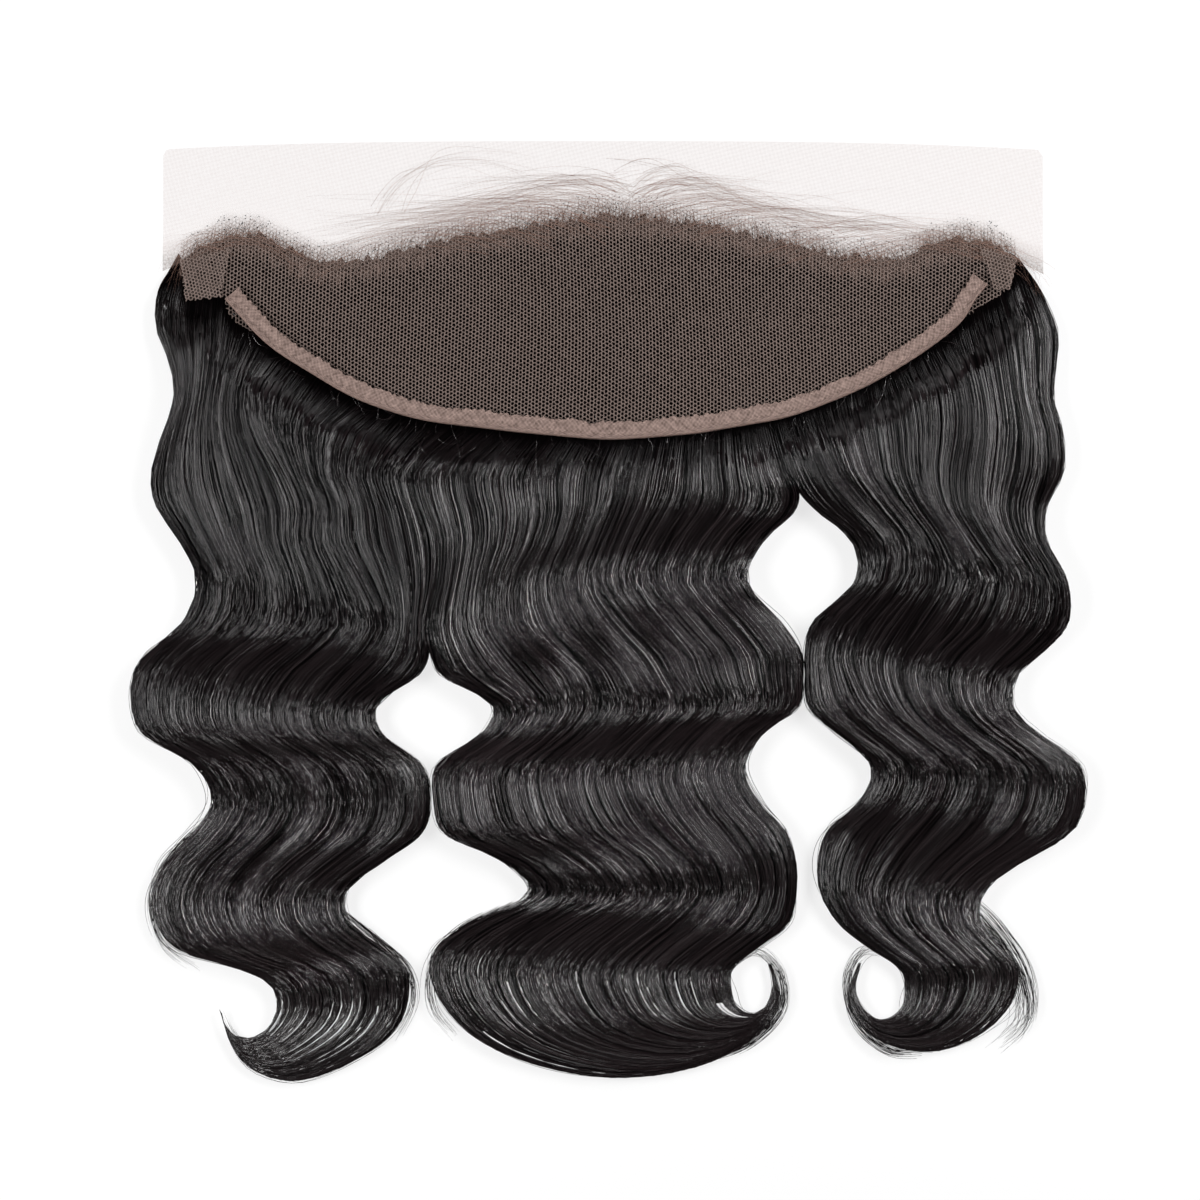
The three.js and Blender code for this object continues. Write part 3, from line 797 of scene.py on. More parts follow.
@dataclass(frozen=True)
class NetFinish:
    """Fine knitted threads that let some light through, in patches of two tans."""

    name: str
    color: Color = (0.245, 0.18, 0.155, 1)
    pale: Color = (0.34, 0.262, 0.232, 1)
    opacity: float = 0.5
    roughness: float = 0.7
    patches: float = 900.0

    def material(self) -> bpy.types.Material:
        """Builds the material."""
        material, graph = new_material(self.name)
        place = graph.add("TexCoord").outputs["Object"]
        patches = graph.noise(place, self.patches, detail=3.0)
        inputs = {
            "Base Color": graph.mix(patches, self.color, self.pale),
            "Roughness": self.roughness,
            "Specular IOR Level": CLOTH_SPECULAR,
            "Alpha": graph.times(graph.attribute("cover"), self.opacity),
        }
        graph.surface(inputs)
        return material


@dataclass(frozen=True)
class SheerFinish:
    """The sheer margin: a fine net with a faint slanting weave, and a haze towards the hairline."""

    name: str
    weave: bpy.types.NodeTree
    color: Color = (0.36, 0.2, 0.165, 1)
    haze: Color = (0.2, 0.14, 0.118, 1)
    sheer: Span = (0.062, 0.105)
    hazy: Span = (0.05, 0.26)
    grain: float = 1400.0
    pitch: float = 1.1 * MM
    slub: float = 0.3
    slant: float = math.radians(30)
    roughness: float = 0.7

    def material(self) -> bpy.types.Material:
        """Builds the material."""
        material, graph = new_material(self.name)
        place = graph.add("TexCoord").outputs["Object"]
        turned = graph.add("Mapping", {"Vector": place, "Rotation": (0, 0, self.slant)}).outputs[0]
        count = 0.5 / self.pitch
        weave = graph.group(self.weave, turned, {"Warp": count, "Weft": count, "Slub": self.slub}).outputs
        sheer = graph.spread(weave["Thread"], (0.0, 1.0), self.sheer)
        cover = graph.attribute("cover")
        grain = graph.noise(place, self.grain, detail=2.0)
        haze = graph.times(cover, graph.spread(grain, (0.3, 0.7), self.hazy))
        inputs = {
            "Base Color": graph.mix(cover, self.color, self.haze),
            "Roughness": self.roughness,
            "Specular IOR Level": 0.1,
            "Alpha": graph.plus(sheer, haze),
        }
        graph.surface(inputs)
        return material


@dataclass(frozen=True)
class RibbonFinish:
    """A tan lace ribbon, woven in small dashes."""

    name: str
    weave: bpy.types.NodeTree
    dark: Color = (0.09, 0.058, 0.048, 1)
    light: Color = (0.37, 0.265, 0.23, 1)
    edge: Color = (0.34, 0.225, 0.19, 1)
    warp: float = 190.0
    weft: float = 6.0
    slub: float = 0.62
    ridge: Span = (0.78, 0.9)
    ridge_tint: float = 0.7
    relief: float = 0.6 * MM
    roughness: float = 0.75

    def material(self) -> bpy.types.Material:
        """Builds the material."""
        material, graph = new_material(self.name)
        place = graph.add("UVMap", uv_map="UVMap").outputs[0]
        threads = {"Warp": self.warp, "Weft": self.weft, "Slub": self.slub}
        weave = graph.group(self.weave, place, threads).outputs
        woven = graph.mix(weave["Thread"], self.dark, self.light)
        across = graph.add("SeparateXYZ", {0: place}).outputs[1]
        rolled = graph.spread(across, self.ridge, (0.0, self.ridge_tint))
        inputs = {
            "Base Color": graph.mix(rolled, woven, self.edge),
            "Roughness": self.roughness,
            "Specular IOR Level": CLOTH_SPECULAR,
            "Normal": graph.bump(weave["Height"], self.relief),
        }
        graph.surface(inputs)
        return material


@dataclass(frozen=True)
class FloorFinish:
    """A plain pale floor."""

    name: str = "pale_floor"
    color: Color = (0.22, 0.22, 0.22, 1)
    roughness: float = 0.9
    glow: float = 0.76

    def material(self) -> bpy.types.Material:
        """Builds the material."""
        material, graph = new_material(self.name)
        inputs = {
            "Base Color": self.color,
            "Roughness": self.roughness,
            "Emission Color": (1, 1, 1, 1),
            "Emission Strength": self.glow,
        }
        graph.surface(inputs)
        return material


class Guide(NamedTuple):
    """A line of the hair's flow inside a hank: its share from side to side, and its column."""

    share: float
    column: str


@dataclass(frozen=True)
class HankPlan:
    """What tells one hank from the others."""

    name: str
    left: str
    right: str
    left_seam: str
    right_seam: str
    left_until: float
    right_until: float
    guides: tuple[Guide, ...]
    curl: tuple[CurlRow, ...]
    columns: int
    strands: int
    slits: int
    seed: int
    top_sheen: float


LEFT_SEAM_END = 0.5
RIGHT_SEAM_END = 0.31
HANK_PLANS = (
    HankPlan(
        name="hair_left",
        left="left_outer",
        right="left_inner",
        left_seam="",
        right_seam="left_seam",
        left_until=0.0,
        right_until=LEFT_SEAM_END,
        guides=(Guide(0.45, "left_near"), Guide(0.78, "left_far")),
        curl=LEFT_CURL,
        columns=76,
        strands=420,
        slits=20,
        seed=11,
        top_sheen=0.55,
    ),
    HankPlan(
        name="hair_center",
        left="center_left",
        right="center_right",
        left_seam="left_seam",
        right_seam="right_seam",
        left_until=LEFT_SEAM_END,
        right_until=RIGHT_SEAM_END,
        guides=(Guide(0.27, "center_near"), Guide(0.66, "center_far")),
        curl=CENTER_CURL,
        columns=100,
        strands=580,
        slits=36,
        seed=12,
        top_sheen=0.86,
    ),
    HankPlan(
        name="hair_right",
        left="right_inner",
        right="right_outer",
        left_seam="right_seam",
        right_seam="",
        left_until=RIGHT_SEAM_END,
        right_until=0.0,
        guides=(Guide(0.28, "right_near"), Guide(0.7, "right_far")),
        curl=RIGHT_CURL,
        columns=76,
        strands=420,
        slits=20,
        seed=13,
        top_sheen=0.64,
    ),
)


class Draw(IntEnum):
    """What a hank's random numbers are drawn for, as an addition to its seed."""

    BODY = 0
    LOCKS = 40
    SLITS = 60
    GATHER = 70
    DRIFT = 80
    GLOSS = 90
    STRANDS = 100


@dataclass(frozen=True)
class StrandStyle:
    """How the strands over a hank run, and how much they differ."""

    steps: int = 48
    shorter: float = 0.2
    free_part: float = 0.34
    drift: float = 0.007
    ripple: float = 0.0022
    ripple_rate: float = 1.5
    turns: Span = (0.8, 3.0)
    looseness: Span = (1.3, 0.26)
    side_start: float = 1.2 * MM
    side_run: float = 4 * MM
    side_least: float = 0.25
    tip_start: float = 0.95
    tip_run: float = 0.2
    tip_least: float = 0.15
    least_width: float = 12 * MM
    overhang: float = 0.02
    radius: Span = (0.12, 0.3)
    hump_rate: float = 0.7
    hump_shift: float = 1.7
    rise: Span = (0.1, 0.6)
    least_room: float = 0.2
    taper_run: float = 0.42
    taper_power: float = 0.7
    taper_least: float = 0.15
    swell_run: float = 0.1
    swell_least: float = 0.75


class Hank:
    """A hank of hair: a ridged body, loose locks at its end and many strands over it."""

    samples = 1200
    edge_rounding = 18 * MM
    edge_height = 2.2 * MM
    least_height = 0.6 * MM
    seam_opening = 12 * MM
    locks = 5
    lock_depth = 0.14
    lock_wander = 0.35
    lock_turns = 2.5
    ripple_height = 0.22 * MM
    ripple_width = 60 * MM
    slit_width = 0.0012
    slit_first = 0.04
    slit_room = 0.92
    slit_jitter = (0.05, 0.95)
    slit_start = (0.7, 0.86)
    gather_start = 0.71
    gather_run = 0.14
    gather_shape = (1.1, 1.6)
    gather_most = 0.48
    body_rows = 104
    body_start = (0.002, 0.004)
    body_end = 0.91
    ragged_part = 0.1
    ragged_reach = 0.02
    tuft_reach = 3 * MM
    tuft_power = 1.3
    tuft_part = 0.022
    tuft_height = 0.4 * MM
    thin_part = 0.02
    thin_height = 0.3 * MM
    exit_range = (0.02, 0.6)
    exit_steps = 240
    exit_cover = 7 * MM
    shadow_part = 0.8
    # over this run behind the cloth the painted shadow fades out and the hair turns glossy
    painted_shadow_run = 9 * MM
    painted_shadow_power = 1.5
    sheen_places = (0.36, 0.6, 0.8)
    lower_sheen = (0.92, 1.16)
    patch_places = (0.4, 0.6)
    patch_strength = (0.26, 0.13)
    mean_gloss = 0.88
    least_gloss = 0.3
    style = StrandStyle()

    def __init__(self, plan: HankPlan, cloth: Cloth, reach: float, height: float) -> None:
        """Works out the lines that the hair follows.

        Args:
            plan: what tells this hank from the others.
            cloth: the lace that lies on it.
            reach: from the foremost hair to the lowest tips.
            height: of the hanks' highest part.
        """
        self.plan = plan
        self.cloth = cloth
        self.reach = reach
        self.height = height
        self.shares = np.array([0.0, *(guide.share for guide in plan.guides), 1.0])
        rows = [self._section(row) for row in HANK_SECTIONS]
        for row in plan.curl:
            left, right = np.array(row.left), np.array(row.right)
            rows.append(np.array([left + (right - left) * share for share in self.shares]))
        scale = np.array([cloth.half_width, reach])
        stacked = np.array(rows) * scale
        self.lines = np.stack([smooth_curve(line, self.samples) for line in stacked.swapaxes(0, 1)])
        tops = [row.height for row in (*HANK_SECTIONS, *plan.curl)]
        places = np.linspace(0, len(tops) - 1, self.samples)
        self.tops = np.interp(places, np.arange(len(tops)), tops) * height
        self.locks_field = Ripple.seeded(plan.seed + Draw.LOCKS, (9, 26), (0.5, 3), 9)
        self.drift_field = Ripple.seeded(plan.seed + Draw.DRIFT, (2, 7), (0.5, 2.5), 6)
        self.gloss_field = Ripple.seeded(plan.seed + Draw.GLOSS, (1, 9), (1, 6), 9)
        self.slits = self._draw_slits()
        rng = np.random.default_rng(plan.seed + Draw.GATHER)
        self.gathering = rng.beta(*self.gather_shape, plan.slits + 1) * self.gather_most

    def _draw_slits(self) -> Array:
        """Gaps between the loose locks at the end: where each is, and where it starts."""
        rng = np.random.default_rng(self.plan.seed + Draw.SLITS)
        count = self.plan.slits
        order = np.arange(count) + rng.uniform(*self.slit_jitter, count)
        middle = self.slit_first + self.slit_room * order / count
        middle[1:] = np.maximum(middle[1:], middle[:-1] + 5 * self.slit_width)
        return np.stack([middle, rng.uniform(*self.slit_start, count)], axis=1)

    def gather(self, u: Array, t: Array, hold: Array | float = 1.0) -> Array:
        """Draws the hair together into loose locks near the end, which opens the gaps between them.

        Args:
            u: from the left side to the right.
            t: from the hairline to the tip.
            hold: how far each place goes along with its lock.

        Returns:
            The new u.
        """
        edges = np.concatenate([[0.0], self.slits[:, 0], [1.0]])
        lock = np.clip(np.searchsorted(edges, u, side="right") - 1, 0, len(edges) - 2)
        middle = (edges[lock] + edges[lock + 1]) / 2
        middle = np.where(lock == 0, 0.0, np.where(lock == len(edges) - 2, 1.0, middle))
        drawn = np.clip((t - self.gather_start) / self.gather_run, 0, 1)
        return u + (middle - u) * self.gathering[lock] * hold * drawn * drawn * (3 - 2 * drawn)

    def _side(self, row: HankSection, column: str, seam: str, until: float) -> float:
        """A side's place across at a row: on the seam with the next hank, or free where that has ended."""
        if seam and row.down <= until:
            return self._flow(seam, row.down)
        return getattr(row, column)

    def _section(self, row: HankSection) -> Array:
        """A row's points from side to side: across and down for each line."""
        plan = self.plan
        left = self._side(row, plan.left, plan.left_seam, plan.left_until)
        right = self._side(row, plan.right, plan.right_seam, plan.right_until)
        inner = [
            self._flow(guide.column, row.down)
            if row.down <= FLOW_ROWS[-1].down
            else left + (right - left) * guide.share
            for guide in plan.guides
        ]
        return np.array([[across, row.down] for across in (left, *inner, right)])

    @staticmethod
    def _flow(column: str, down: float) -> float:
        """A line's place across at a depth."""
        depths = [row.down for row in FLOW_ROWS]
        places = [getattr(row, column) for row in FLOW_ROWS]
        return float(np.interp(down, depths, places))

    def locate(self, u: Array, t: Array) -> tuple[Array, Array, Array, Array]:
        """A place in the hank's plan.

        Args:
            u: from the left side to the right.
            t: from the hairline to the tip.

        Returns:
            Across, down, the hank's width there and its height there.
        """
        place = np.clip(t, 0, 1) * (self.samples - 1)
        low = np.minimum(place.astype(int), self.samples - 2)
        part = (place - low)[..., None]
        at = self.lines[:, low] * (1 - part) + self.lines[:, low + 1] * part
        k = np.clip(np.searchsorted(self.shares, u, side="right") - 1, 0, len(self.shares) - 2)
        first = np.take_along_axis(at, k[None, ..., None], axis=0)[0]
        second = np.take_along_axis(at, k[None, ..., None] + 1, axis=0)[0]
        share = ((u - self.shares[k]) / (self.shares[k + 1] - self.shares[k]))[..., None]
        point = first + (second - first) * share
        width = np.linalg.norm(at[-1] - at[0], axis=-1)
        top = self.tops[low] * (1 - part[..., 0]) + self.tops[low + 1] * part[..., 0]
        return point[..., 0], point[..., 1], width, top

    def surface(self, u: Array, t: Array, hold: Array | float = 1.0) -> tuple[Array, Array, Array]:
        """The hank's upper side on the cloth's own x and y, with its height."""
        x, down, width, top = self.locate(self.gather(u, t, hold), t)
        cloth = self.cloth
        dip = (cloth.peak - cloth.hairline(x)) * np.maximum(0, 1 - down / cloth.root_depth)
        y = cloth.peak - down - dip
        lift = self._side_lift(u * width, down, self.plan.left_until)
        lift = lift * self._side_lift((1 - u) * width, down, self.plan.right_until)
        wander = self.lock_wander * np.sin(2 * math.pi * self.lock_turns * t)
        ridge = 0.5 - 0.5 * np.cos(2 * math.pi * (self.locks * u + wander))
        crown = top * (1 - self.lock_depth * (1 - ridge))
        ripple = self.locks_field(u, t) * self.ripple_height
        crown = crown + ripple * np.minimum(1, width / self.ripple_width)
        edge = np.minimum(self.edge_height, top)
        z = np.minimum(edge + (crown - edge) * lift, cloth.ceiling(x, y))
        return x, y, np.maximum(z, self.least_height)

    def gloss_and_painted_shade(self, x: Array, y: Array, u: Array, t: Array) -> Array:
        """How glossy the hair is: dull, and painted dark as shade, under the cloth and right behind it; then
        in uneven patches, duller and darker near the top of each hank by its own share.
        """
        past = self.cloth.rear(x) - self.cloth.shadow_width * self.shadow_part - y
        # painted shadow: no coat and no light colour under the cloth, rising back behind it
        rise = np.clip(past / self.painted_shadow_run, 0, 1) ** self.painted_shadow_power
        along = np.interp(t, self.sheen_places, (self.plan.top_sheen, *self.lower_sheen))
        patches = np.interp(t, self.patch_places, self.patch_strength) * self.gloss_field(u, t)
        return np.clip(rise * along * np.clip(self.mean_gloss + patches, self.least_gloss, 1), 0, 1)

    def _side_lift(self, distance: Array, down: Array, seam: float) -> Array:
        """How far the hank stands up near a side: full along a seam, rounded off where the side is free."""
        share = np.clip(distance / self.edge_rounding, 0, 1)
        rounded = np.sqrt(1 - (1 - share) ** 2)
        opened = np.clip((down - seam * self.reach) / self.seam_opening, 0, 1) if seam > 0 else 1.0
        return 1 - opened * (1 - rounded)

    def body(self, material: bpy.types.Material) -> bpy.types.Object:
        """The ridged body: a closed mound from behind the hairline to the curl, with a ragged front."""
        rng = np.random.default_rng(self.plan.seed + Draw.BODY)
        even = np.linspace(0, 1, self.plan.columns)
        clear = np.min(np.abs(even[:, None] - self.slits[:, 0]), axis=1) > 3 * self.slit_width
        sides = (self.slits[:, :1] + self.slit_width * np.array([-1, 1])).ravel()
        across = np.sort(np.concatenate([even[clear], sides]))
        columns = len(across)
        u = np.broadcast_to(across, (self.body_rows, columns))
        least_start, start_range = self.body_start
        start = least_start + start_range * rng.random(columns)
        ragged = self.ragged_reach * self.locks_field(across, np.ones(columns))
        share = np.linspace(0, 1, self.body_rows)[:, None]
        late = np.clip((share - (1 - self.ragged_part)) / self.ragged_part, 0, 1)
        t = start * (1 - share) + (self.body_end + ragged * late) * share
        x, y, z = self.surface(u, t)
        tuft = self.tuft_reach * rng.random(columns) ** self.tuft_power
        y = y + tuft * np.clip(1 - share / self.tuft_part, 0, 1)
        hidden = np.clip(self.cloth.bed(x, y) - self.cloth.bed_gap, self.tuft_height, z)
        z = np.where(share < self.tuft_part, hidden, z)
        thin = np.clip((1 - share) / self.thin_part, 0, 1)
        z = self.thin_height + (z - self.thin_height) * thin
        top = self.cloth.place(x, y, z)
        base = top.copy()
        base[..., 2] = 0
        cut = np.zeros((self.body_rows - 1, columns - 1), bool)
        for middle, opening in self.slits:
            cut[t[:-1, 0] > opening, np.searchsorted(across, middle) - 1] = True
        piece = closed_sheet(self.plan.name + "_body", top, base, cut)
        # how glossy each vertex is, with the shade painted under and behind the cloth, for the top and the
        # base
        gloss_and_painted_shade = self.gloss_and_painted_shade(x, y, u, t).ravel()
        store_values(piece.data, "gloss_and_painted_shade", np.concatenate([gloss_and_painted_shade, gloss_and_painted_shade]))
        return finish_piece(piece, material)

    def band_exit(self, u: Array) -> Array:
        """Where each strand comes out from under the cloth, a little before its edge."""
        t = np.linspace(*self.exit_range, self.exit_steps)
        grid_u, grid_t = np.meshgrid(u, t, indexing="ij")
        x, y, _ = self.surface(grid_u, grid_t)
        hidden = y > self.cloth.rear(x) + self.exit_cover
        first = np.argmin(hidden, axis=1)
        return t[first]

    def strands(self, material: bpy.types.Material) -> bpy.types.Object:
        """The strands over the body, from under the ribbon to the tip."""
        style = self.style
        rng = np.random.default_rng(self.plan.seed + Draw.STRANDS)
        count = self.plan.strands
        u0 = (np.arange(count) + rng.random(count)) / count
        start = self.band_exit(u0)
        end = 1 - style.shorter * rng.random(count) ** 2
        hold = np.where(rng.random(count) < style.free_part, rng.random(count), 1.0)[:, None]
        run = np.linspace(0, 1, style.steps)[None, :]
        t = start[:, None] + (end - start)[:, None] * run
        u = np.broadcast_to(u0[:, None], t.shape)
        _, _, width, _ = self.locate(u, t)
        ripple = self.locks_field(u, t * style.ripple_rate)
        aside = width * (style.drift * self.drift_field(u, t) + style.ripple * ripple)
        turns = rng.uniform(*style.turns, count)[:, None]
        phase = rng.uniform(0, 2 * math.pi, count)[:, None]
        loose = rng.gamma(*style.looseness, count)[:, None] * MM
        aside = aside + loose * np.sin(2 * math.pi * turns * t + phase)
        inward = np.minimum(u, 1 - u) * width
        aside = aside * np.clip((inward + style.side_start) / style.side_run, style.side_least, 1)
        aside = aside * np.clip((style.tip_start - t) / style.tip_run, style.tip_least, 1)
        u = u + aside / np.maximum(width, style.least_width)
        x, y, z = self.surface(np.clip(u, -style.overhang, 1 + style.overhang), t, hold)
        layer = rng.random(count)[:, None]
        radius = rng.uniform(*style.radius, count)[:, None] * MM
        wave = np.sin(2 * math.pi * turns * style.hump_rate * t + phase * style.hump_shift)
        hump = 0.5 + 0.5 * wave
        room = np.clip(self.cloth.ceiling(x, y) - z, 0, 1 * MM) / MM
        least_rise, more_rise = style.rise
        z = z + (least_rise + more_rise * layer * hump) * MM * np.maximum(room, style.least_room)
        taper = np.minimum(1, (1 - run) / style.taper_run) ** style.taper_power
        taper = taper * (1 - style.taper_least) + style.taper_least
        swell = style.swell_least + (1 - style.swell_least) * np.minimum(1, run / style.swell_run)
        radii = radius * taper * swell
        # the strands carry the same glossiness and painted shade as the body
        tubes = TubeSet(self.cloth.place(x, y, z), radii, rng.random(count), self.gloss_and_painted_shade(x, y, u, t))
        return seat_object(tubes.mesh(self.plan.name + "_strands"), material)


Outline = Callable[[Array, Array], Array]
CORNER_BEARINGS = ((60, 0), (180, 120), (300, 240))
THREAD_LINKS = ((2, -1), (1, 0), (1, -1))
START_SIDES = ((0, 2), (1, 0), (2, 1))
END_SIDES = ((1, 2), (2, 0), (0, 1))


@dataclass(frozen=True)
class HexNet:
    """A knitted net with six-sided holes: threads with a low roof shape that meet at junctions of three."""

    cloth: Cloth
    pitch: float = 1.54 * MM
    thread: float = 0.55 * MM
    thickness: float = 0.3 * MM
    lift: float = 0.3 * MM
    angle: float = 0.0
    unevenness: float = 0.05
    corner_unevenness: float = 0.12
    height_unevenness: float = 0.03 * MM
    wave_heights: Span = (0.6 * MM, 0.8 * MM)
    wave_across: Span = (41 * MM, 17 * MM)
    wave_along: Span = (23 * MM, -37 * MM)
    seed: int = 5

    def _junctions(self, box: tuple[float, float, float, float]) -> tuple[Array, Array, tuple[int, int]]:
        """An even net's junctions over a box.

        Args:
            box: the lowest and highest x, and the lowest and highest y.

        Returns:
            Across and up for each junction, two for each hole, and how many holes there are each way.
        """
        p = self.pitch
        x0, x1, y0, y1 = box
        reach = math.hypot(x1 - x0, y1 - y0) / 2 + 2 * p
        half = int(reach / (p * math.sqrt(3) / 2)) + 2
        tall = int(reach / p) + 2
        i = np.arange(-half, half + 1)[:, None]
        j = np.arange(-tall - half // 2, tall + half // 2 + 1)[None, :]
        hole_x = i * p * math.sqrt(3) / 2 + 0 * j
        hole_y = i * p / 2 + j * p
        aside = p / math.sqrt(3)
        flat_x = np.concatenate([(hole_x + aside).ravel(), (hole_x - aside).ravel()])
        flat_y = np.concatenate([hole_y.ravel(), hole_y.ravel()])
        turn = math.radians(self.angle)
        x = (x0 + x1) / 2 + flat_x * math.cos(turn) - flat_y * math.sin(turn)
        y = (y0 + y1) / 2 + flat_x * math.sin(turn) + flat_y * math.cos(turn)
        return x, y, hole_x.shape

    def _stretch(self, rng: np.random.Generator, x: Array, y: Array) -> tuple[Array, Array]:
        """Moves the junctions a little, each by itself and all of them in slow waves."""
        uneven = self.unevenness * self.pitch
        high_x, high_y = self.wave_heights
        long_x, long_y = self.wave_across
        x = x + rng.normal(0, uneven, x.shape) + high_x * np.sin(x / long_x + y / long_y)
        long_x, long_y = self.wave_along
        y = y + rng.normal(0, uneven, y.shape) + high_y * np.sin(x / long_x + y / long_y)
        return x, y

    def _vertices(self, rng: np.random.Generator, x: Array, y: Array) -> Array:
        """Four vertices for each junction: its three corners, and then its raised middle."""
        spread = self.thread / math.sqrt(3) * (1 + rng.normal(0, self.corner_unevenness, x.shape))
        first = np.arange(len(x)) < len(x) // 2
        bearings = np.stack([np.where(first, a, b) for a, b in CORNER_BEARINGS])
        bearings = np.radians(bearings) + math.radians(self.angle)
        vertex_x = np.concatenate([x + spread * np.cos(bearings), x[None]]).T
        vertex_y = np.concatenate([y + spread * np.sin(bearings), y[None]]).T
        height = self.cloth.bed(vertex_x, vertex_y) + self.lift
        height[:, 3] += self.thickness
        height += rng.normal(0, self.height_unevenness, x.shape)[:, None]
        return self.cloth.place(vertex_x, vertex_y, height).reshape(-1, 3)

    def arrays(
        self,
        inside: Outline,
        box: tuple[float, float, float, float],
        part: Outline | None = None,
    ) -> tuple[Array, Array, Array]:
        """The threads whose two junctions lie inside an outline.

        Args:
            inside: tells which points lie inside the outline.
            box: the lowest and highest x, and the lowest and highest y, that hold the outline.
            part: tells which junctions belong to this piece, where a net is made in several, or None.

        Returns:
            The vertices, quads and triangles.
        """
        x, y, (count_i, count_j) = self._junctions(box)
        rng = np.random.default_rng(self.seed)
        x, y = self._stretch(rng, x, y)
        vertices = self._vertices(rng, x, y)
        kept = inside(x, y)
        own = kept if part is None else kept & part(x, y)
        total = count_i * count_j
        number = np.arange(total).reshape(count_i, count_j)
        quads, triangles = [], []
        for (di, dj), (left_a, right_a), (left_b, right_b) in zip(THREAD_LINKS, START_SIDES, END_SIDES):
            a = number[max(0, -di):count_i - di, max(0, -dj):count_j].ravel()
            b = number[di:, :count_j + dj].ravel() if dj < 0 else number[di:, dj:].ravel()
            b = b + total
            joined = kept[a] & kept[b]
            mine = joined & own[a]
            la, ra, pa = 4 * a + left_a, 4 * a + right_a, 4 * a + 3
            lb, rb, pb = 4 * b + left_b, 4 * b + right_b, 4 * b + 3
            for face in ((la, pa, pb, lb), (ra, rb, pb, pa), (la, lb, rb, ra)):
                quads.append(np.stack(face, axis=1)[mine])
            bare_a = own[a] & ~joined
            triangles.append(np.stack([ra, la, pa], axis=1)[bare_a])
            bare_b = own[b] & ~mine
            triangles.append(np.stack([lb, rb, pb], axis=1)[bare_b])
            open_b = mine & ~own[b]
            triangles.append(np.stack([rb, lb, pb], axis=1)[open_b])
        mine = np.flatnonzero(own)
        triangles.append(np.stack([4 * mine, 4 * mine + 2, 4 * mine + 1], axis=1))
        quads = np.concatenate(quads)
        triangles = np.concatenate(triangles)
        used = np.unique(np.concatenate([quads.ravel(), triangles.ravel()]))
        fresh = np.zeros(len(vertices), int)
        fresh[used] = np.arange(len(used))
        return vertices[used], fresh[quads], fresh[triangles]


EAR_CORNERS = {
    "ear_tab_left": ((-1.0, 0.4), (-0.985, 0.54), (-0.9, 0.528), (-0.876, 0.36)),
    "ear_tab_right": ((0.907, 0.35), (0.938, 0.5), (0.981, 0.5), (1.0, 0.39)),
}
RIBBON_PROFILE = (
    (0, 0.45),
    (0.03, 0.8),
    (0.08, 0.98),
    (0.14, 1.0),
    (0.2, 0.82),
    (0.26, 0.6),
    (0.34, 0.55),
    (0.48, 0.6),
    (0.64, 0.62),
    (0.8, 0.6),
    (0.92, 0.54),
    (1.0, 0.45),
)


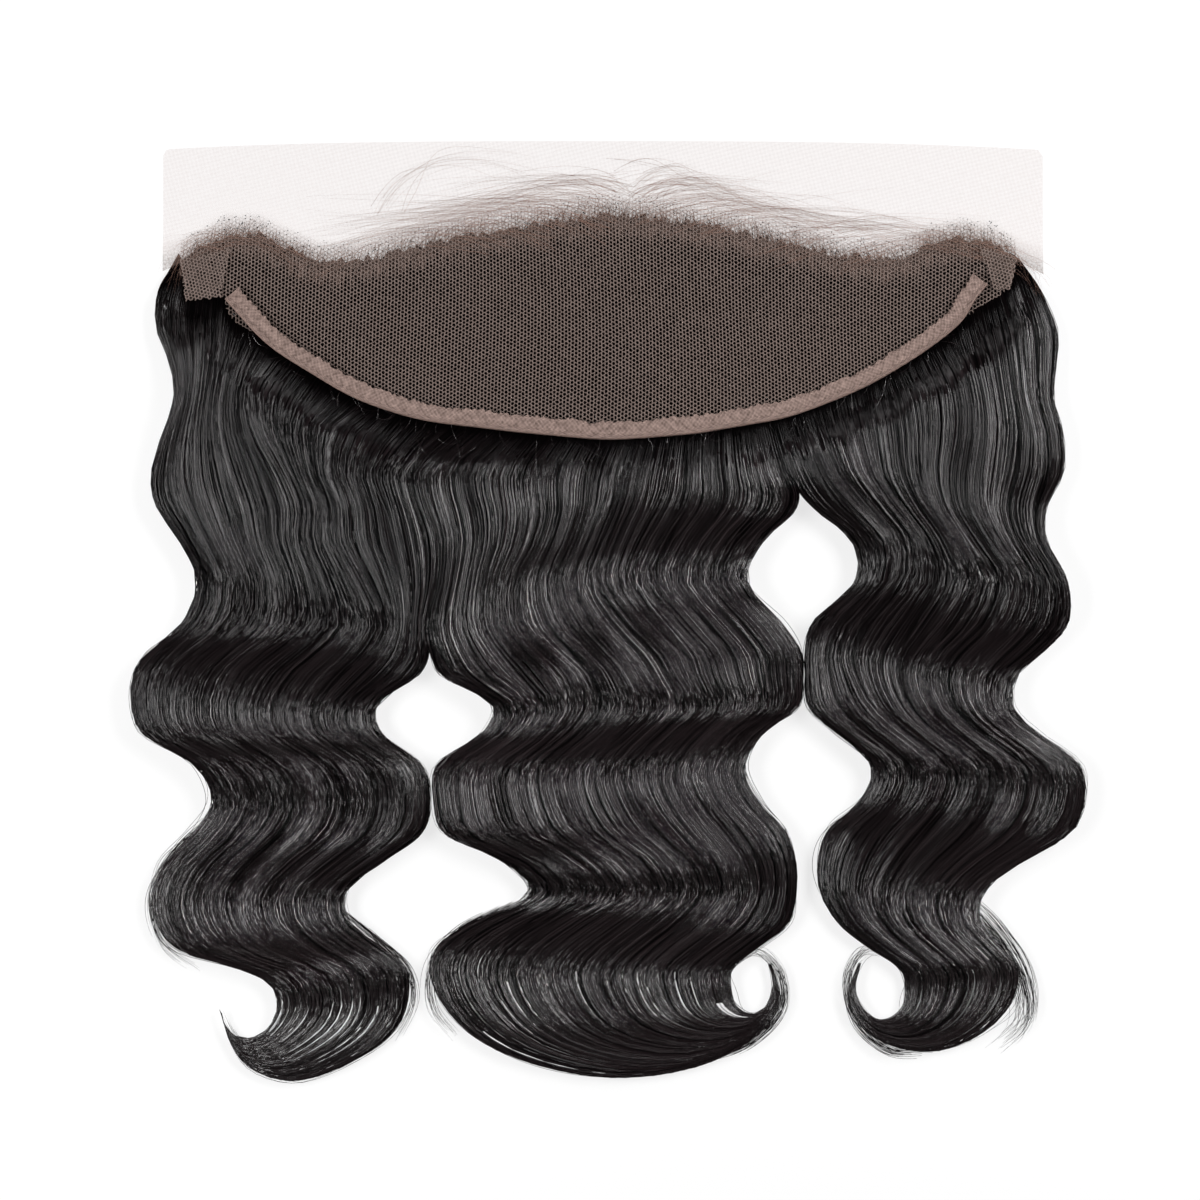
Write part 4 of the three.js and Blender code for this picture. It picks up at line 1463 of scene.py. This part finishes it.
class Lace:
    """All the cloth: the hex net, the sheer margin, the second net at each ear and the ribbon."""

    fade = 9 * MM
    fade_power = 1.3
    front_unevenness = 2 * MM
    front_waves = ((5300, 2900), (3100, -4700))
    depth_samples = 200
    rear_inset = 0.6 * MM
    end_inset = 0.999
    margin_rows = 14
    margin_crowding = 1.8
    margin_overlap = 2.5 * MM
    margin_lift = 0.1 * MM
    margin_thickness = 0.1 * MM
    wall = 1 * MM
    seat_gap = 0.4 * MM
    ribbon_width = 6.8 * MM
    ridge_height = 2 * MM
    ribbon_steps = 380
    ribbon_seed = 21
    path_samples = 2000
    sway_waves = ((0.22 * MM, 17.0), (0.1 * MM, 6.3))
    ragged_edge = 0.6 * MM
    width_unevenness = 0.25 * MM
    top_unevenness = 0.05 * MM

    def __init__(self, cloth: Cloth) -> None:
        """Keeps the cloth that it lies as."""
        self.cloth = cloth

    def store_cover(self, piece: bpy.types.Object) -> None:
        """Keeps how close to the hairline each vertex is: threads and haze fade out in front of it."""
        places = np.zeros(len(piece.data.vertices) * 3, np.float32)
        piece.data.vertices.foreach_get("co", places)
        x, y = places[0::3] - self.cloth.origin_x, places[1::3] - self.cloth.origin_y
        ahead = (y - self.cloth.hairline(x)) / self.fade
        store_values(piece.data, "cover", np.clip(1.0 - ahead, 0.0, 1.0) ** self.fade_power)

    def _in_crescent(self, x: Array, y: Array) -> Array:
        """Whether points lie on the close net, which starts a little in front of the hairline."""
        cloth = self.cloth
        first, second = (np.sin(x * a + y * b) for a, b in self.front_waves)
        uneven = self.front_unevenness * first * second
        inside = (y < cloth.hairline(x) + self.fade + uneven) & (y > cloth.rear(x) + self.rear_inset)
        return inside & (np.abs(x) < cloth.half_width * self.end_inset)

    def crescent(self, material: bpy.types.Material) -> list[bpy.types.Object]:
        """The hex net in two halves that meet at the middle; the ribbon, made apart, runs along their rear
        edge.
        """
        cloth = self.cloth
        net = HexNet(cloth)
        box = (-cloth.half_width, cloth.half_width, -cloth.depth, cloth.peak + self.fade)
        halves = (
            ("left", (-cloth.half_width, 0), lambda x, y: x < 0),
            ("right", (0, cloth.half_width), lambda x, y: x >= 0),
        )
        pieces = []
        for side, ends, part in halves:
            mesh = mesh_from("lace_net_" + side, *net.arrays(self._in_crescent, box, part))
            piece = seat_object(mesh, material)
            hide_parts("lace_sheet")
            self.store_cover(piece)
            across = np.linspace(*ends, self.depth_samples)
            deep = cloth.hairline(across) + self.fade - cloth.rear(across)
            pieces.append(piece)
        return pieces

    def margin(self, material: bpy.types.Material) -> bpy.types.Object:
        """The sheer margin from the front edge back to the close net, and round its two ends.

        Its columns are closest where the back jumps from the hairline to the cloth's end.
        """
        cloth = self.cloth
        first, last = LACE_SECTIONS[0].across, LACE_SECTIONS[-1].across
        parts = [
            [first, last],
            np.linspace(first, -1.01, 5),
            [-1.003, -0.999],
            np.linspace(-0.98, 0.98, 150),
            [0.999, 1.004],
            np.linspace(1.01, last, 6),
        ]
        across = np.sort(np.concatenate(parts))
        x = across * cloth.half_width
        front = cloth.front(x)
        back = np.where(np.abs(across) < 1.0, cloth.hairline(x) - self.margin_overlap, cloth.rear(x))
        share = 1 - (1 - np.linspace(0, 1, self.margin_rows)[:, None]) ** self.margin_crowding
        y = front + (back - front) * share
        grid_x = np.broadcast_to(x, y.shape)
        z = cloth.bed(grid_x, y) + self.margin_lift
        top = cloth.place(grid_x, y, z + self.margin_thickness)
        base = cloth.place(grid_x, y, z)
        piece = closed_sheet("lace_margin", top, base)
        finish_piece(piece, material)
        self.store_cover(piece)
        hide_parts("lace_sheet")
        return piece

    def ear_nets(self, material: bpy.types.Material) -> list[bpy.types.Object]:
        """The second layer of net at each ear."""
        net = HexNet(self.cloth, pitch=1.4 * MM, thread=0.52 * MM, lift=1.5 * MM, angle=14.0, seed=8)
        pieces = []
        for node, points in EAR_CORNERS.items():
            outline = np.array(points) * (self.cloth.half_width, -self.cloth.depth)

            def inside(x: Array, y: Array, ring: Array = outline) -> Array:
                """Whether points lie inside the patch's corners."""
                sides = zip(ring, np.roll(ring, -1, axis=0))
                turns = [(b[0] - a[0]) * (y - a[1]) - (b[1] - a[1]) * (x - a[0]) for a, b in sides]
                return np.all(np.array(turns) > 0, axis=0)

            low, high = outline.min(axis=0), outline.max(axis=0)
            arrays = net.arrays(inside, (low[0], high[0], low[1], high[1]))
            piece = seat_object(mesh_from(node.replace("tab", "net"), *arrays), material)
            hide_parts(node)
            store_values(piece.data, "cover", np.ones(len(piece.data.vertices)))
            pieces.append(piece)
        return pieces

    def rear_path(self) -> Array:
        """Evenly spaced points along the ribbon's outer side, from the left end to the right."""
        points = np.array([(p.across, p.rear) for p in BAND_POINTS])
        points = points * (self.cloth.half_width, -self.cloth.depth)
        return even_steps(smooth_curve(points, self.path_samples), self.ribbon_steps)

    def ribbon(self, material: bpy.types.Material) -> bpy.types.Object:
        """The sewn ribbon along the rear edge: a flat weave with a rolled ridge and a ragged inner edge."""
        cloth = self.cloth
        rng = np.random.default_rng(self.ribbon_seed)
        path = self.rear_path()
        along = np.gradient(path, axis=0)
        along /= np.linalg.norm(along, axis=1, keepdims=True)
        inward = np.stack([-along[:, 1], along[:, 0]], axis=1)
        share, height = np.array(RIBBON_PROFILE).T[:, :, None]
        steps = np.arange(self.ribbon_steps)
        ragged = self.ragged_edge * rng.uniform(-1, 1, self.ribbon_steps)
        knots = steps[::6]
        width = np.interp(steps, knots, rng.normal(0, self.width_unevenness, len(knots)))
        reach = share * (self.ribbon_width + width) + ragged * (share == 1)
        sway = sum(size * np.sin(steps / length) for size, length in self.sway_waves)
        x = path[:, 0] + inward[:, 0] * (reach + sway)
        y = path[:, 1] + inward[:, 1] * (reach + sway)
        under = cloth.bed(x, y) + self.wall + self.seat_gap
        rise = height * self.ridge_height + rng.normal(0, self.top_unevenness, x.shape)
        top = cloth.place(x, y, under + rise)
        base = cloth.place(x, y, under)
        piece = closed_sheet("sewn_ribbon", top[::-1], base[::-1])
        finish_piece(piece, material)
        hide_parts("edge_band")
        return piece


class Wisp(NamedTuple):
    """A tuft of loose hairs at a hank's end: its line by across and down, its hairs, its spread in mm."""

    line: tuple[tuple[float, float], ...]
    hairs: int
    spread: float


WISPS = (
    Wisp(
        ((0.219, 0.982), (0.35, 0.963), (0.436, 0.92), (0.432, 0.878), (0.379, 0.853), (0.326, 0.861)),
        36,
        1.2,
    ),
    Wisp(
        ((0.793, 0.971), (0.697, 0.969), (0.616, 0.934), (0.597, 0.885), (0.635, 0.854), (0.687, 0.855)),
        36,
        1.2,
    ),
    Wisp(((-0.714, 0.989), (-0.821, 0.974), (-0.876, 0.948), (-0.9, 0.925)), 18, 0.8),
    Wisp(((0.86, 0.785), (0.94, 0.825), (1.01, 0.88), (1.02, 0.93), (0.95, 0.965)), 70, 2.4),
    Wisp(((-0.9, 0.69), (-1.0, 0.733), (-1.068, 0.79), (-1.045, 0.842), (-0.95, 0.878)), 30, 1.0),
    Wisp(((-0.2, 0.795), (-0.33, 0.828), (-0.397, 0.87), (-0.395, 0.917), (-0.33, 0.957)), 34, 1.3),
    Wisp(((-0.63, 0.8), (-0.53, 0.838), (-0.452, 0.875), (-0.438, 0.911), (-0.48, 0.957)), 30, 1.0),
)


class StrayHair:
    """Loose hairs: beside the hanks, in wisps at their ends, and short curly ones behind the ribbon."""

    seed = 41
    side_hairs = 72
    side_length = (0.05, 0.2)
    side_range = (0.33, 1.03)
    side_bulge = (1.6, 0.6)
    side_inset = 0.6 * MM
    side_height = (0.4, 2.4)
    least_width = 10 * MM
    band_hairs = 90
    band_length = (8, 24)
    band_lean = 0.75
    band_curl = 1.3
    band_inset = 1.5 * MM
    band_rise = (0.2, 1.3)
    wisp_height = (0.4, 3.5)
    wisp_fan = (0.6, 1.1)
    wisp_sway = 0.25
    wisp_samples = 120
    wisp_last_start = 30
    wisp_first_end = 70
    radius = (0.06, 0.13)
    steps = 22

    def __init__(self, cloth: Cloth, hanks: list[Hank], rear_path: Array) -> None:
        """Keeps what the hairs start from."""
        self.cloth = cloth
        self.hanks = hanks
        self.rear_path = rear_path

    def _beside(self, rng: np.random.Generator, hank: Hank) -> Array:
        """Paths of the hairs beside a hank, which leave its side and come back to it."""
        count = self.side_hairs
        run = np.linspace(0, 1, self.steps)
        right = rng.random(count) < 0.5
        length = rng.uniform(*self.side_length, count)
        first, last = self.side_range
        start = rng.uniform(first, last - length)
        t = np.clip(start[:, None] + length[:, None] * run, 0, 1)
        _, _, width, _ = hank.locate(np.zeros_like(t), t)
        bulge = rng.gamma(*self.side_bulge, count)[:, None] * MM * np.sin(math.pi * run) ** 1.5
        beyond = (bulge - self.side_inset) / np.maximum(width, self.least_width)
        u = np.where(right[:, None], 1 + beyond, -beyond)
        x, y, _ = hank.surface(u, t)
        z = rng.uniform(*self.side_height, count)[:, None] * MM + 0 * x
        return self.cloth.place(x, y, z)

    def _behind_ribbon(self, rng: np.random.Generator) -> Array:
        """Paths of the short curly hairs that come out behind the ribbon."""
        count = self.band_hairs
        pick = rng.integers(8, len(self.rear_path) - 8, count)
        along = self.rear_path[pick + 4] - self.rear_path[pick - 4]
        along /= np.linalg.norm(along, axis=1, keepdims=True)
        outward = np.stack([along[:, 1], -along[:, 0]], axis=1)
        run = np.linspace(0, 1, self.steps)[None, :]
        length = rng.uniform(*self.band_length, count)[:, None] * MM
        lean = rng.normal(0, self.band_lean, count)[:, None]
        curl = rng.normal(0, self.band_curl, count)[:, None]
        angle = lean + curl * run
        step = length / self.steps
        forth = np.cumsum(np.cos(angle) * step, axis=1) - self.band_inset
        aside = np.cumsum(np.sin(angle) * step, axis=1)
        start = self.rear_path[pick]
        x = start[:, :1] + outward[:, :1] * forth + along[:, :1] * aside
        y = start[:, 1:] + outward[:, 1:] * forth + along[:, 1:] * aside
        rise = rng.uniform(*self.band_rise, count)[:, None] * MM * np.sin(math.pi * run * 0.6)
        z = np.minimum(self.cloth.ceiling(x, y), self.cloth.root_height + 1.5 * MM) + rise
        return self.cloth.place(x, y, z)

    def _wisp(self, rng: np.random.Generator, wisp: Wisp) -> Array:
        """Paths of the hairs of one wisp, each with its own start, end and sway."""
        line = np.array(wisp.line) * (self.cloth.half_width, self.hanks[0].reach)
        paths = []
        for _ in range(wisp.hairs):
            fan = np.linspace(*self.wisp_fan, len(line))[:, None]
            aside = rng.normal(0, wisp.spread * MM, 2) * fan
            sway = rng.normal(0, self.wisp_sway * wisp.spread * MM, line.shape)
            curve = smooth_curve(line + aside + sway, self.wisp_samples)
            start = rng.integers(0, self.wisp_last_start)
            end = rng.integers(self.wisp_first_end, self.wisp_samples)
            paths.append(even_steps(curve[start:end], self.steps))
        flat = np.array(paths)
        z = rng.uniform(*self.wisp_height, wisp.hairs)[:, None] * MM + 0 * flat[..., 0]
        return self.cloth.place(flat[..., 0], self.cloth.peak - flat[..., 1], z)

    def hairs(self, material: bpy.types.Material) -> bpy.types.Object:
        """All the stray hairs."""
        rng = np.random.default_rng(self.seed)
        sides = [self._beside(rng, hank) for hank in self.hanks]
        wisps = [self._wisp(rng, wisp) for wisp in WISPS]
        paths = np.concatenate([*sides, *wisps, self._behind_ribbon(rng)])
        taper = np.sin(np.linspace(0.5, 3.05, self.steps)) ** 0.5
        radii = rng.uniform(*self.radius, len(paths))[:, None] * MM * taper
        gloss_and_painted_shade = np.ones(paths.shape[:2])
        mesh = TubeSet(paths, radii, rng.random(len(paths)), gloss_and_painted_shade).mesh("stray_hairs")
        return seat_object(mesh, material)


class BabyLock(NamedTuple):
    """A tuft of short front hairs: its arc by across and depth, its hairs, its spread in mm."""

    root: tuple[float, float]
    bend: tuple[float, float]
    tip: tuple[float, float]
    hairs: int
    spread: float


BABY_LOCKS = (
    BabyLock((0.063, 0.19), (-0.09, 0.07), (-0.4, 0.25), 26, 7.0),
    BabyLock((0.0, 0.25), (-0.19, 0.14), (-0.47, 0.31), 24, 7.0),
    BabyLock((-0.09, 0.28), (-0.31, 0.2), (-0.64, 0.32), 22, 6.0),
    BabyLock((-0.24, 0.31), (-0.47, 0.26), (-0.71, 0.41), 20, 6.0),
    BabyLock((0.09, 0.19), (0.22, 0.08), (0.38, 0.21), 24, 6.0),
    BabyLock((0.12, 0.24), (0.33, 0.13), (0.53, 0.29), 24, 6.0),
    BabyLock((0.24, 0.28), (0.48, 0.19), (0.72, 0.33), 22, 6.0),
    BabyLock((0.43, 0.34), (0.67, 0.24), (0.87, 0.35), 20, 6.0),
    BabyLock((0.6, 0.39), (0.82, 0.27), (0.99, 0.42), 18, 5.0),
    BabyLock((-0.51, 0.24), (-0.43, -0.03), (-0.16, 0.1), 5, 5.0),
    BabyLock((0.06, 0.15), (0.16, 0.03), (0.25, 0.13), 5, 5.0),
    BabyLock((-0.72, 0.39), (-0.86, 0.26), (-1.0, 0.38), 10, 5.0),
    BabyLock((-0.88, 0.34), (-0.99, 0.3), (-1.02, 0.46), 10, 4.0),
    BabyLock((0.9, 0.35), (1.03, 0.35), (1.075, 0.5), 10, 4.0),
)


KNOT_CORNERS = ((1, 0, 0), (-1, 0, 0), (0, 1, 0), (0, -1, 0), (0, 0, 1), (0, 0, -1))
KNOT_FACES = ((0, 2, 4), (2, 1, 4), (1, 3, 4), (3, 0, 4), (2, 0, 5), (1, 2, 5), (3, 1, 5), (0, 3, 5))


class FrontHair:
    """The finest hair: roots that fade out at the hairline, knots in the net, and baby hairs."""

    widest = 0.985
    root_seed = 31
    roots = 2300
    root_band = (7.5 * MM, 3 * MM)
    root_length = (4, 9)
    root_lean = 0.35
    root_splay = 0.5
    root_splay_width = 40 * MM
    root_steps = 4
    root_sink = 0.25 * MM
    root_least_height = 0.2 * MM
    root_radius = (0.05, 0.11)
    root_crowding = 0.5
    knot_seed = 32
    knots = 2000
    knot_band = (8.5 * MM, 4 * MM)
    knot_size = (0.16, 0.3)
    knot_crowding = 0.7
    knot_lift = 0.35 * MM
    baby_seed = 33
    baby_steps = 16
    baby_spread = (0.8, 0.5, 1.0)
    baby_sway = 1.2 * MM
    baby_turns = (1, 3)
    baby_front = 1 * MM
    baby_clearance = 0.4 * MM
    baby_lift = (0.35, 1.4)
    baby_radius = (0.025, 0.065)

    def __init__(self, cloth: Cloth) -> None:
        """Keeps the cloth that the hair is tied into."""
        self.cloth = cloth

    def _scatter(
        self,
        rng: np.random.Generator,
        count: int,
        band: Span,
        power: float,
    ) -> tuple[Array, Array]:
        """Random places in a band round the hairline, thinning out towards the front."""
        ahead, behind = band
        x = rng.uniform(-self.widest, self.widest, count) * self.cloth.half_width
        y = self.cloth.hairline(x) + ahead - (ahead + behind) * rng.random(count) ** power
        return x, y

    def root_hairs(self, material: bpy.types.Material) -> bpy.types.Object:
        """Short hairs from the front knots back under the net, which hide the hank's front edge."""
        rng = np.random.default_rng(self.root_seed)
        x, y = self._scatter(rng, self.roots, self.root_band, self.root_crowding)
        length = rng.uniform(*self.root_length, self.roots)[:, None] * MM
        outward = self.root_splay * np.sign(x) * np.minimum(1, np.abs(x) / self.root_splay_width)
        lean = rng.normal(0, self.root_lean, self.roots) + outward
        run = np.linspace(0, 1, self.root_steps)[None, :]
        bearing = lean[:, None] * (1 - 0.5 * run)
        path_x = x[:, None] + length * run * np.sin(bearing)
        path_y = y[:, None] - length * run * np.cos(bearing)
        bed = self.cloth.bed(path_x, path_y)
        z = np.maximum(bed - self.root_sink * run, self.root_least_height)
        radii = rng.uniform(*self.root_radius, self.roots)[:, None] * MM * (0.7 + 0.6 * run)
        tubes = TubeSet(self.cloth.place(path_x, path_y, z), radii, rng.random(self.roots))
        return seat_object(tubes.mesh("root_hairs"), material)

    def hair_knots(self, material: bpy.types.Material) -> bpy.types.Object:
        """The knots that tie the front hairs into the net."""
        rng = np.random.default_rng(self.knot_seed)
        x, y = self._scatter(rng, self.knots, self.knot_band, self.knot_crowding)
        size = rng.uniform(*self.knot_size, self.knots) * MM
        center = self.cloth.place(x, y, self.cloth.bed(x, y) + self.knot_lift)
        vertices = center[:, None] + size[:, None, None] * np.array(KNOT_CORNERS, float)
        corners = len(KNOT_CORNERS)
        triangles = np.array(KNOT_FACES) + corners * np.arange(self.knots)[:, None, None]
        uv = np.repeat(rng.random((self.knots, 2)), corners, axis=0)
        empty = np.zeros((0, 4), int)
        mesh = mesh_from("hair_knots", vertices.reshape(-1, 3), empty, triangles.reshape(-1, 3), uv)
        return seat_object(mesh, material)

    def baby_hairs(self, material: bpy.types.Material) -> bpy.types.Object:
        """The fine short hairs swept over the sheer margin."""
        rng = np.random.default_rng(self.baby_seed)
        scale = np.array([self.cloth.half_width, -self.cloth.depth])
        run = np.linspace(0, 1, self.baby_steps)[None, :, None]
        paths = []
        for lock in BABY_LOCKS:
            ends = []
            for point, spread in zip((lock.root, lock.bend, lock.tip), self.baby_spread):
                moved = rng.normal(0, lock.spread * spread * MM, (2 * lock.hairs, 2))
                ends.append((np.array(point) * scale + moved)[:, None])
            root, bend, tip = ends
            paths.append(root * (1 - run) ** 2 + 2 * bend * run * (1 - run) + tip * run**2)
        flat = np.concatenate(paths)
        count = len(flat)
        sway = rng.normal(0, self.baby_sway, (count, 1, 2))
        flat = flat + sway * np.sin(math.pi * run * rng.uniform(*self.baby_turns, (count, 1, 1)))
        x = flat[..., 0]
        y = np.minimum(flat[..., 1], self.baby_front)
        lift = rng.uniform(*self.baby_lift, count)[:, None] * MM
        arch = np.sin(np.linspace(0.15, 2.9, self.baby_steps))
        z = self.cloth.bed(x, y) + self.baby_clearance + lift * arch
        taper = np.sqrt(np.linspace(1, 0.05, self.baby_steps))
        radii = rng.uniform(*self.baby_radius, count)[:, None] * MM * taper
        mesh = TubeSet(self.cloth.place(x, y, z), radii, rng.random(count)).mesh("baby_hairs")
        return seat_object(mesh, material)


class Softbox(NamedTuple):
    """A soft light that faces the middle of the frontal: its name, place, two sizes and power."""

    name: str
    place: tuple[float, float, float]
    size: Span
    power: float


SOFTBOXES = (
    Softbox("left_softbox", (-0.98, -0.02, 0.72), (0.8, 0.34), 13.8),
    Softbox("right_softbox", (0.92, 0.36, 0.72), (0.8, 0.34), 15.4),
    Softbox("front_softbox", (0.0, 1.1, 0.75), (0.9, 0.4), 2.0),
)


@dataclass(frozen=True)
class Studio:
    """A plain pale floor, soft light from both sides and a camera that looks straight down."""

    view_width: float = 473.4 * MM
    view_x: float = -3.2 * MM
    view_y: float = 4.3 * MM
    lens: float = 110.0
    sensor: float = 36.0
    floor_size: float = 12.0
    floor_drop: float = 0.05 * MM
    dim_sky: float = 0.03
    seen_sky: float = 0.95

    def floor(self) -> None:
        """The surface that the frontal lies on."""
        bpy.ops.object.select_all(action="DESELECT")
        bpy.ops.mesh.primitive_plane_add(size=self.floor_size, location=(0, 0, -self.floor_drop))
        floor = bpy.context.object
        floor.name = "floor"
        floor.data.materials.append(FloorFinish().material())

    def softboxes(self) -> None:
        """Soft lights at the left and the right, and a weaker one at the front edge."""
        for box in SOFTBOXES:
            bpy.ops.object.light_add(type="AREA", location=box.place)
            lamp = bpy.context.object
            lamp.name = box.name
            lamp.data.shape = "RECTANGLE"
            lamp.data.size, lamp.data.size_y = box.size
            lamp.data.energy = box.power
            lamp.rotation_euler = Vector(box.place).to_track_quat("Z", "Y").to_euler()

    def sky(self) -> None:
        """A dim sky, which the camera itself sees pale."""
        world = bpy.data.worlds.new("studio")
        bpy.context.scene.world = world
        world.use_nodes = True
        graph = Graph(world.node_tree)
        seen = graph.add("LightPath").outputs["Is Camera Ray"]
        strength = graph.spread(seen, (0.0, 1.0), (self.dim_sky, self.seen_sky))
        sky = graph.add("Background", {"Color": (1, 1, 1, 1), "Strength": strength})
        graph.add("OutputWorld", {0: sky.outputs[0]})

    def camera(self) -> None:
        """The camera, straight above, with a long lens."""
        height = self.view_width * self.lens / self.sensor
        bpy.ops.object.camera_add(location=(self.view_x, self.view_y, height), rotation=(0, 0, 0))
        camera = bpy.context.object
        camera.name = "camera"
        camera.data.lens = self.lens
        camera.data.sensor_width = self.sensor
        camera.data.clip_end = 20
        bpy.context.scene.camera = camera

    def build(self) -> None:
        """Builds all of it."""
        self.floor()
        self.softboxes()
        self.sky()
        self.camera()
        bpy.context.scene.view_settings.view_transform = "Standard"


def main() -> None:
    """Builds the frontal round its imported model."""
    logging.basicConfig(level=logging.INFO, format="%(name)s: %(message)s")
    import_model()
    bpy.ops.object.select_all(action="DESELECT")
    cloth = Cloth.from_frame()
    center_low, center_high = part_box("hair_center")
    reach = center_high.y - center_low.y
    height = center_high.z

    streaks = streak_group()
    weave = weave_group()
    body_hair = HairFinish(
        "hank_body_hair",
        streaks,
        least_coat=0.03,
        coat_ior=2.0,
        across=170.0,
        relief=1.8 * MM,
    ).material()
    strand_hair = HairFinish("strand_hair", streaks, across=40.0, along=2.0).material()
    root_hair = HairFinish(
        "root_hair",
        streaks,
        dark=(0.15, 0.1, 0.082, 1),
        light=(0.47, 0.345, 0.3, 1),
        least_painted_light=1.0,
    ).material()
    soft_hair = HairFinish(
        "baby_hair",
        streaks,
        dark=(0.22, 0.125, 0.095, 1),
        light=(0.46, 0.3, 0.245, 1),
        least_painted_light=1.0,
    ).material()
    net = NetFinish("net_threads").material()
    ear_net = NetFinish("ear_net_threads", opacity=0.6).material()
    sheer = SheerFinish("sheer_net", weave).material()
    ribbon = RibbonFinish("ribbon_weave", weave).material()

    Studio().build()
    hanks = [Hank(plan, cloth, reach, height) for plan in HANK_PLANS]
    for hank in hanks:
        body = hank.body(body_hair)
        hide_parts(hank.plan.name)
        hank.strands(strand_hair)

    lace = Lace(cloth)
    band = lace.ribbon(ribbon)
    halves = lace.crescent(net)
    margin = lace.margin(sheer)
    ear_nets = lace.ear_nets(ear_net)

    front = FrontHair(cloth)
    front.root_hairs(root_hair)
    front.hair_knots(strand_hair)
    front.baby_hairs(soft_hair)
    StrayHair(cloth, hanks, lace.rear_path()).hairs(strand_hair)
    LOG.info("cloth pieces: %s", [piece.name for piece in (*halves, margin, *ear_nets, band)])


if __name__ == "__main__":
    main()
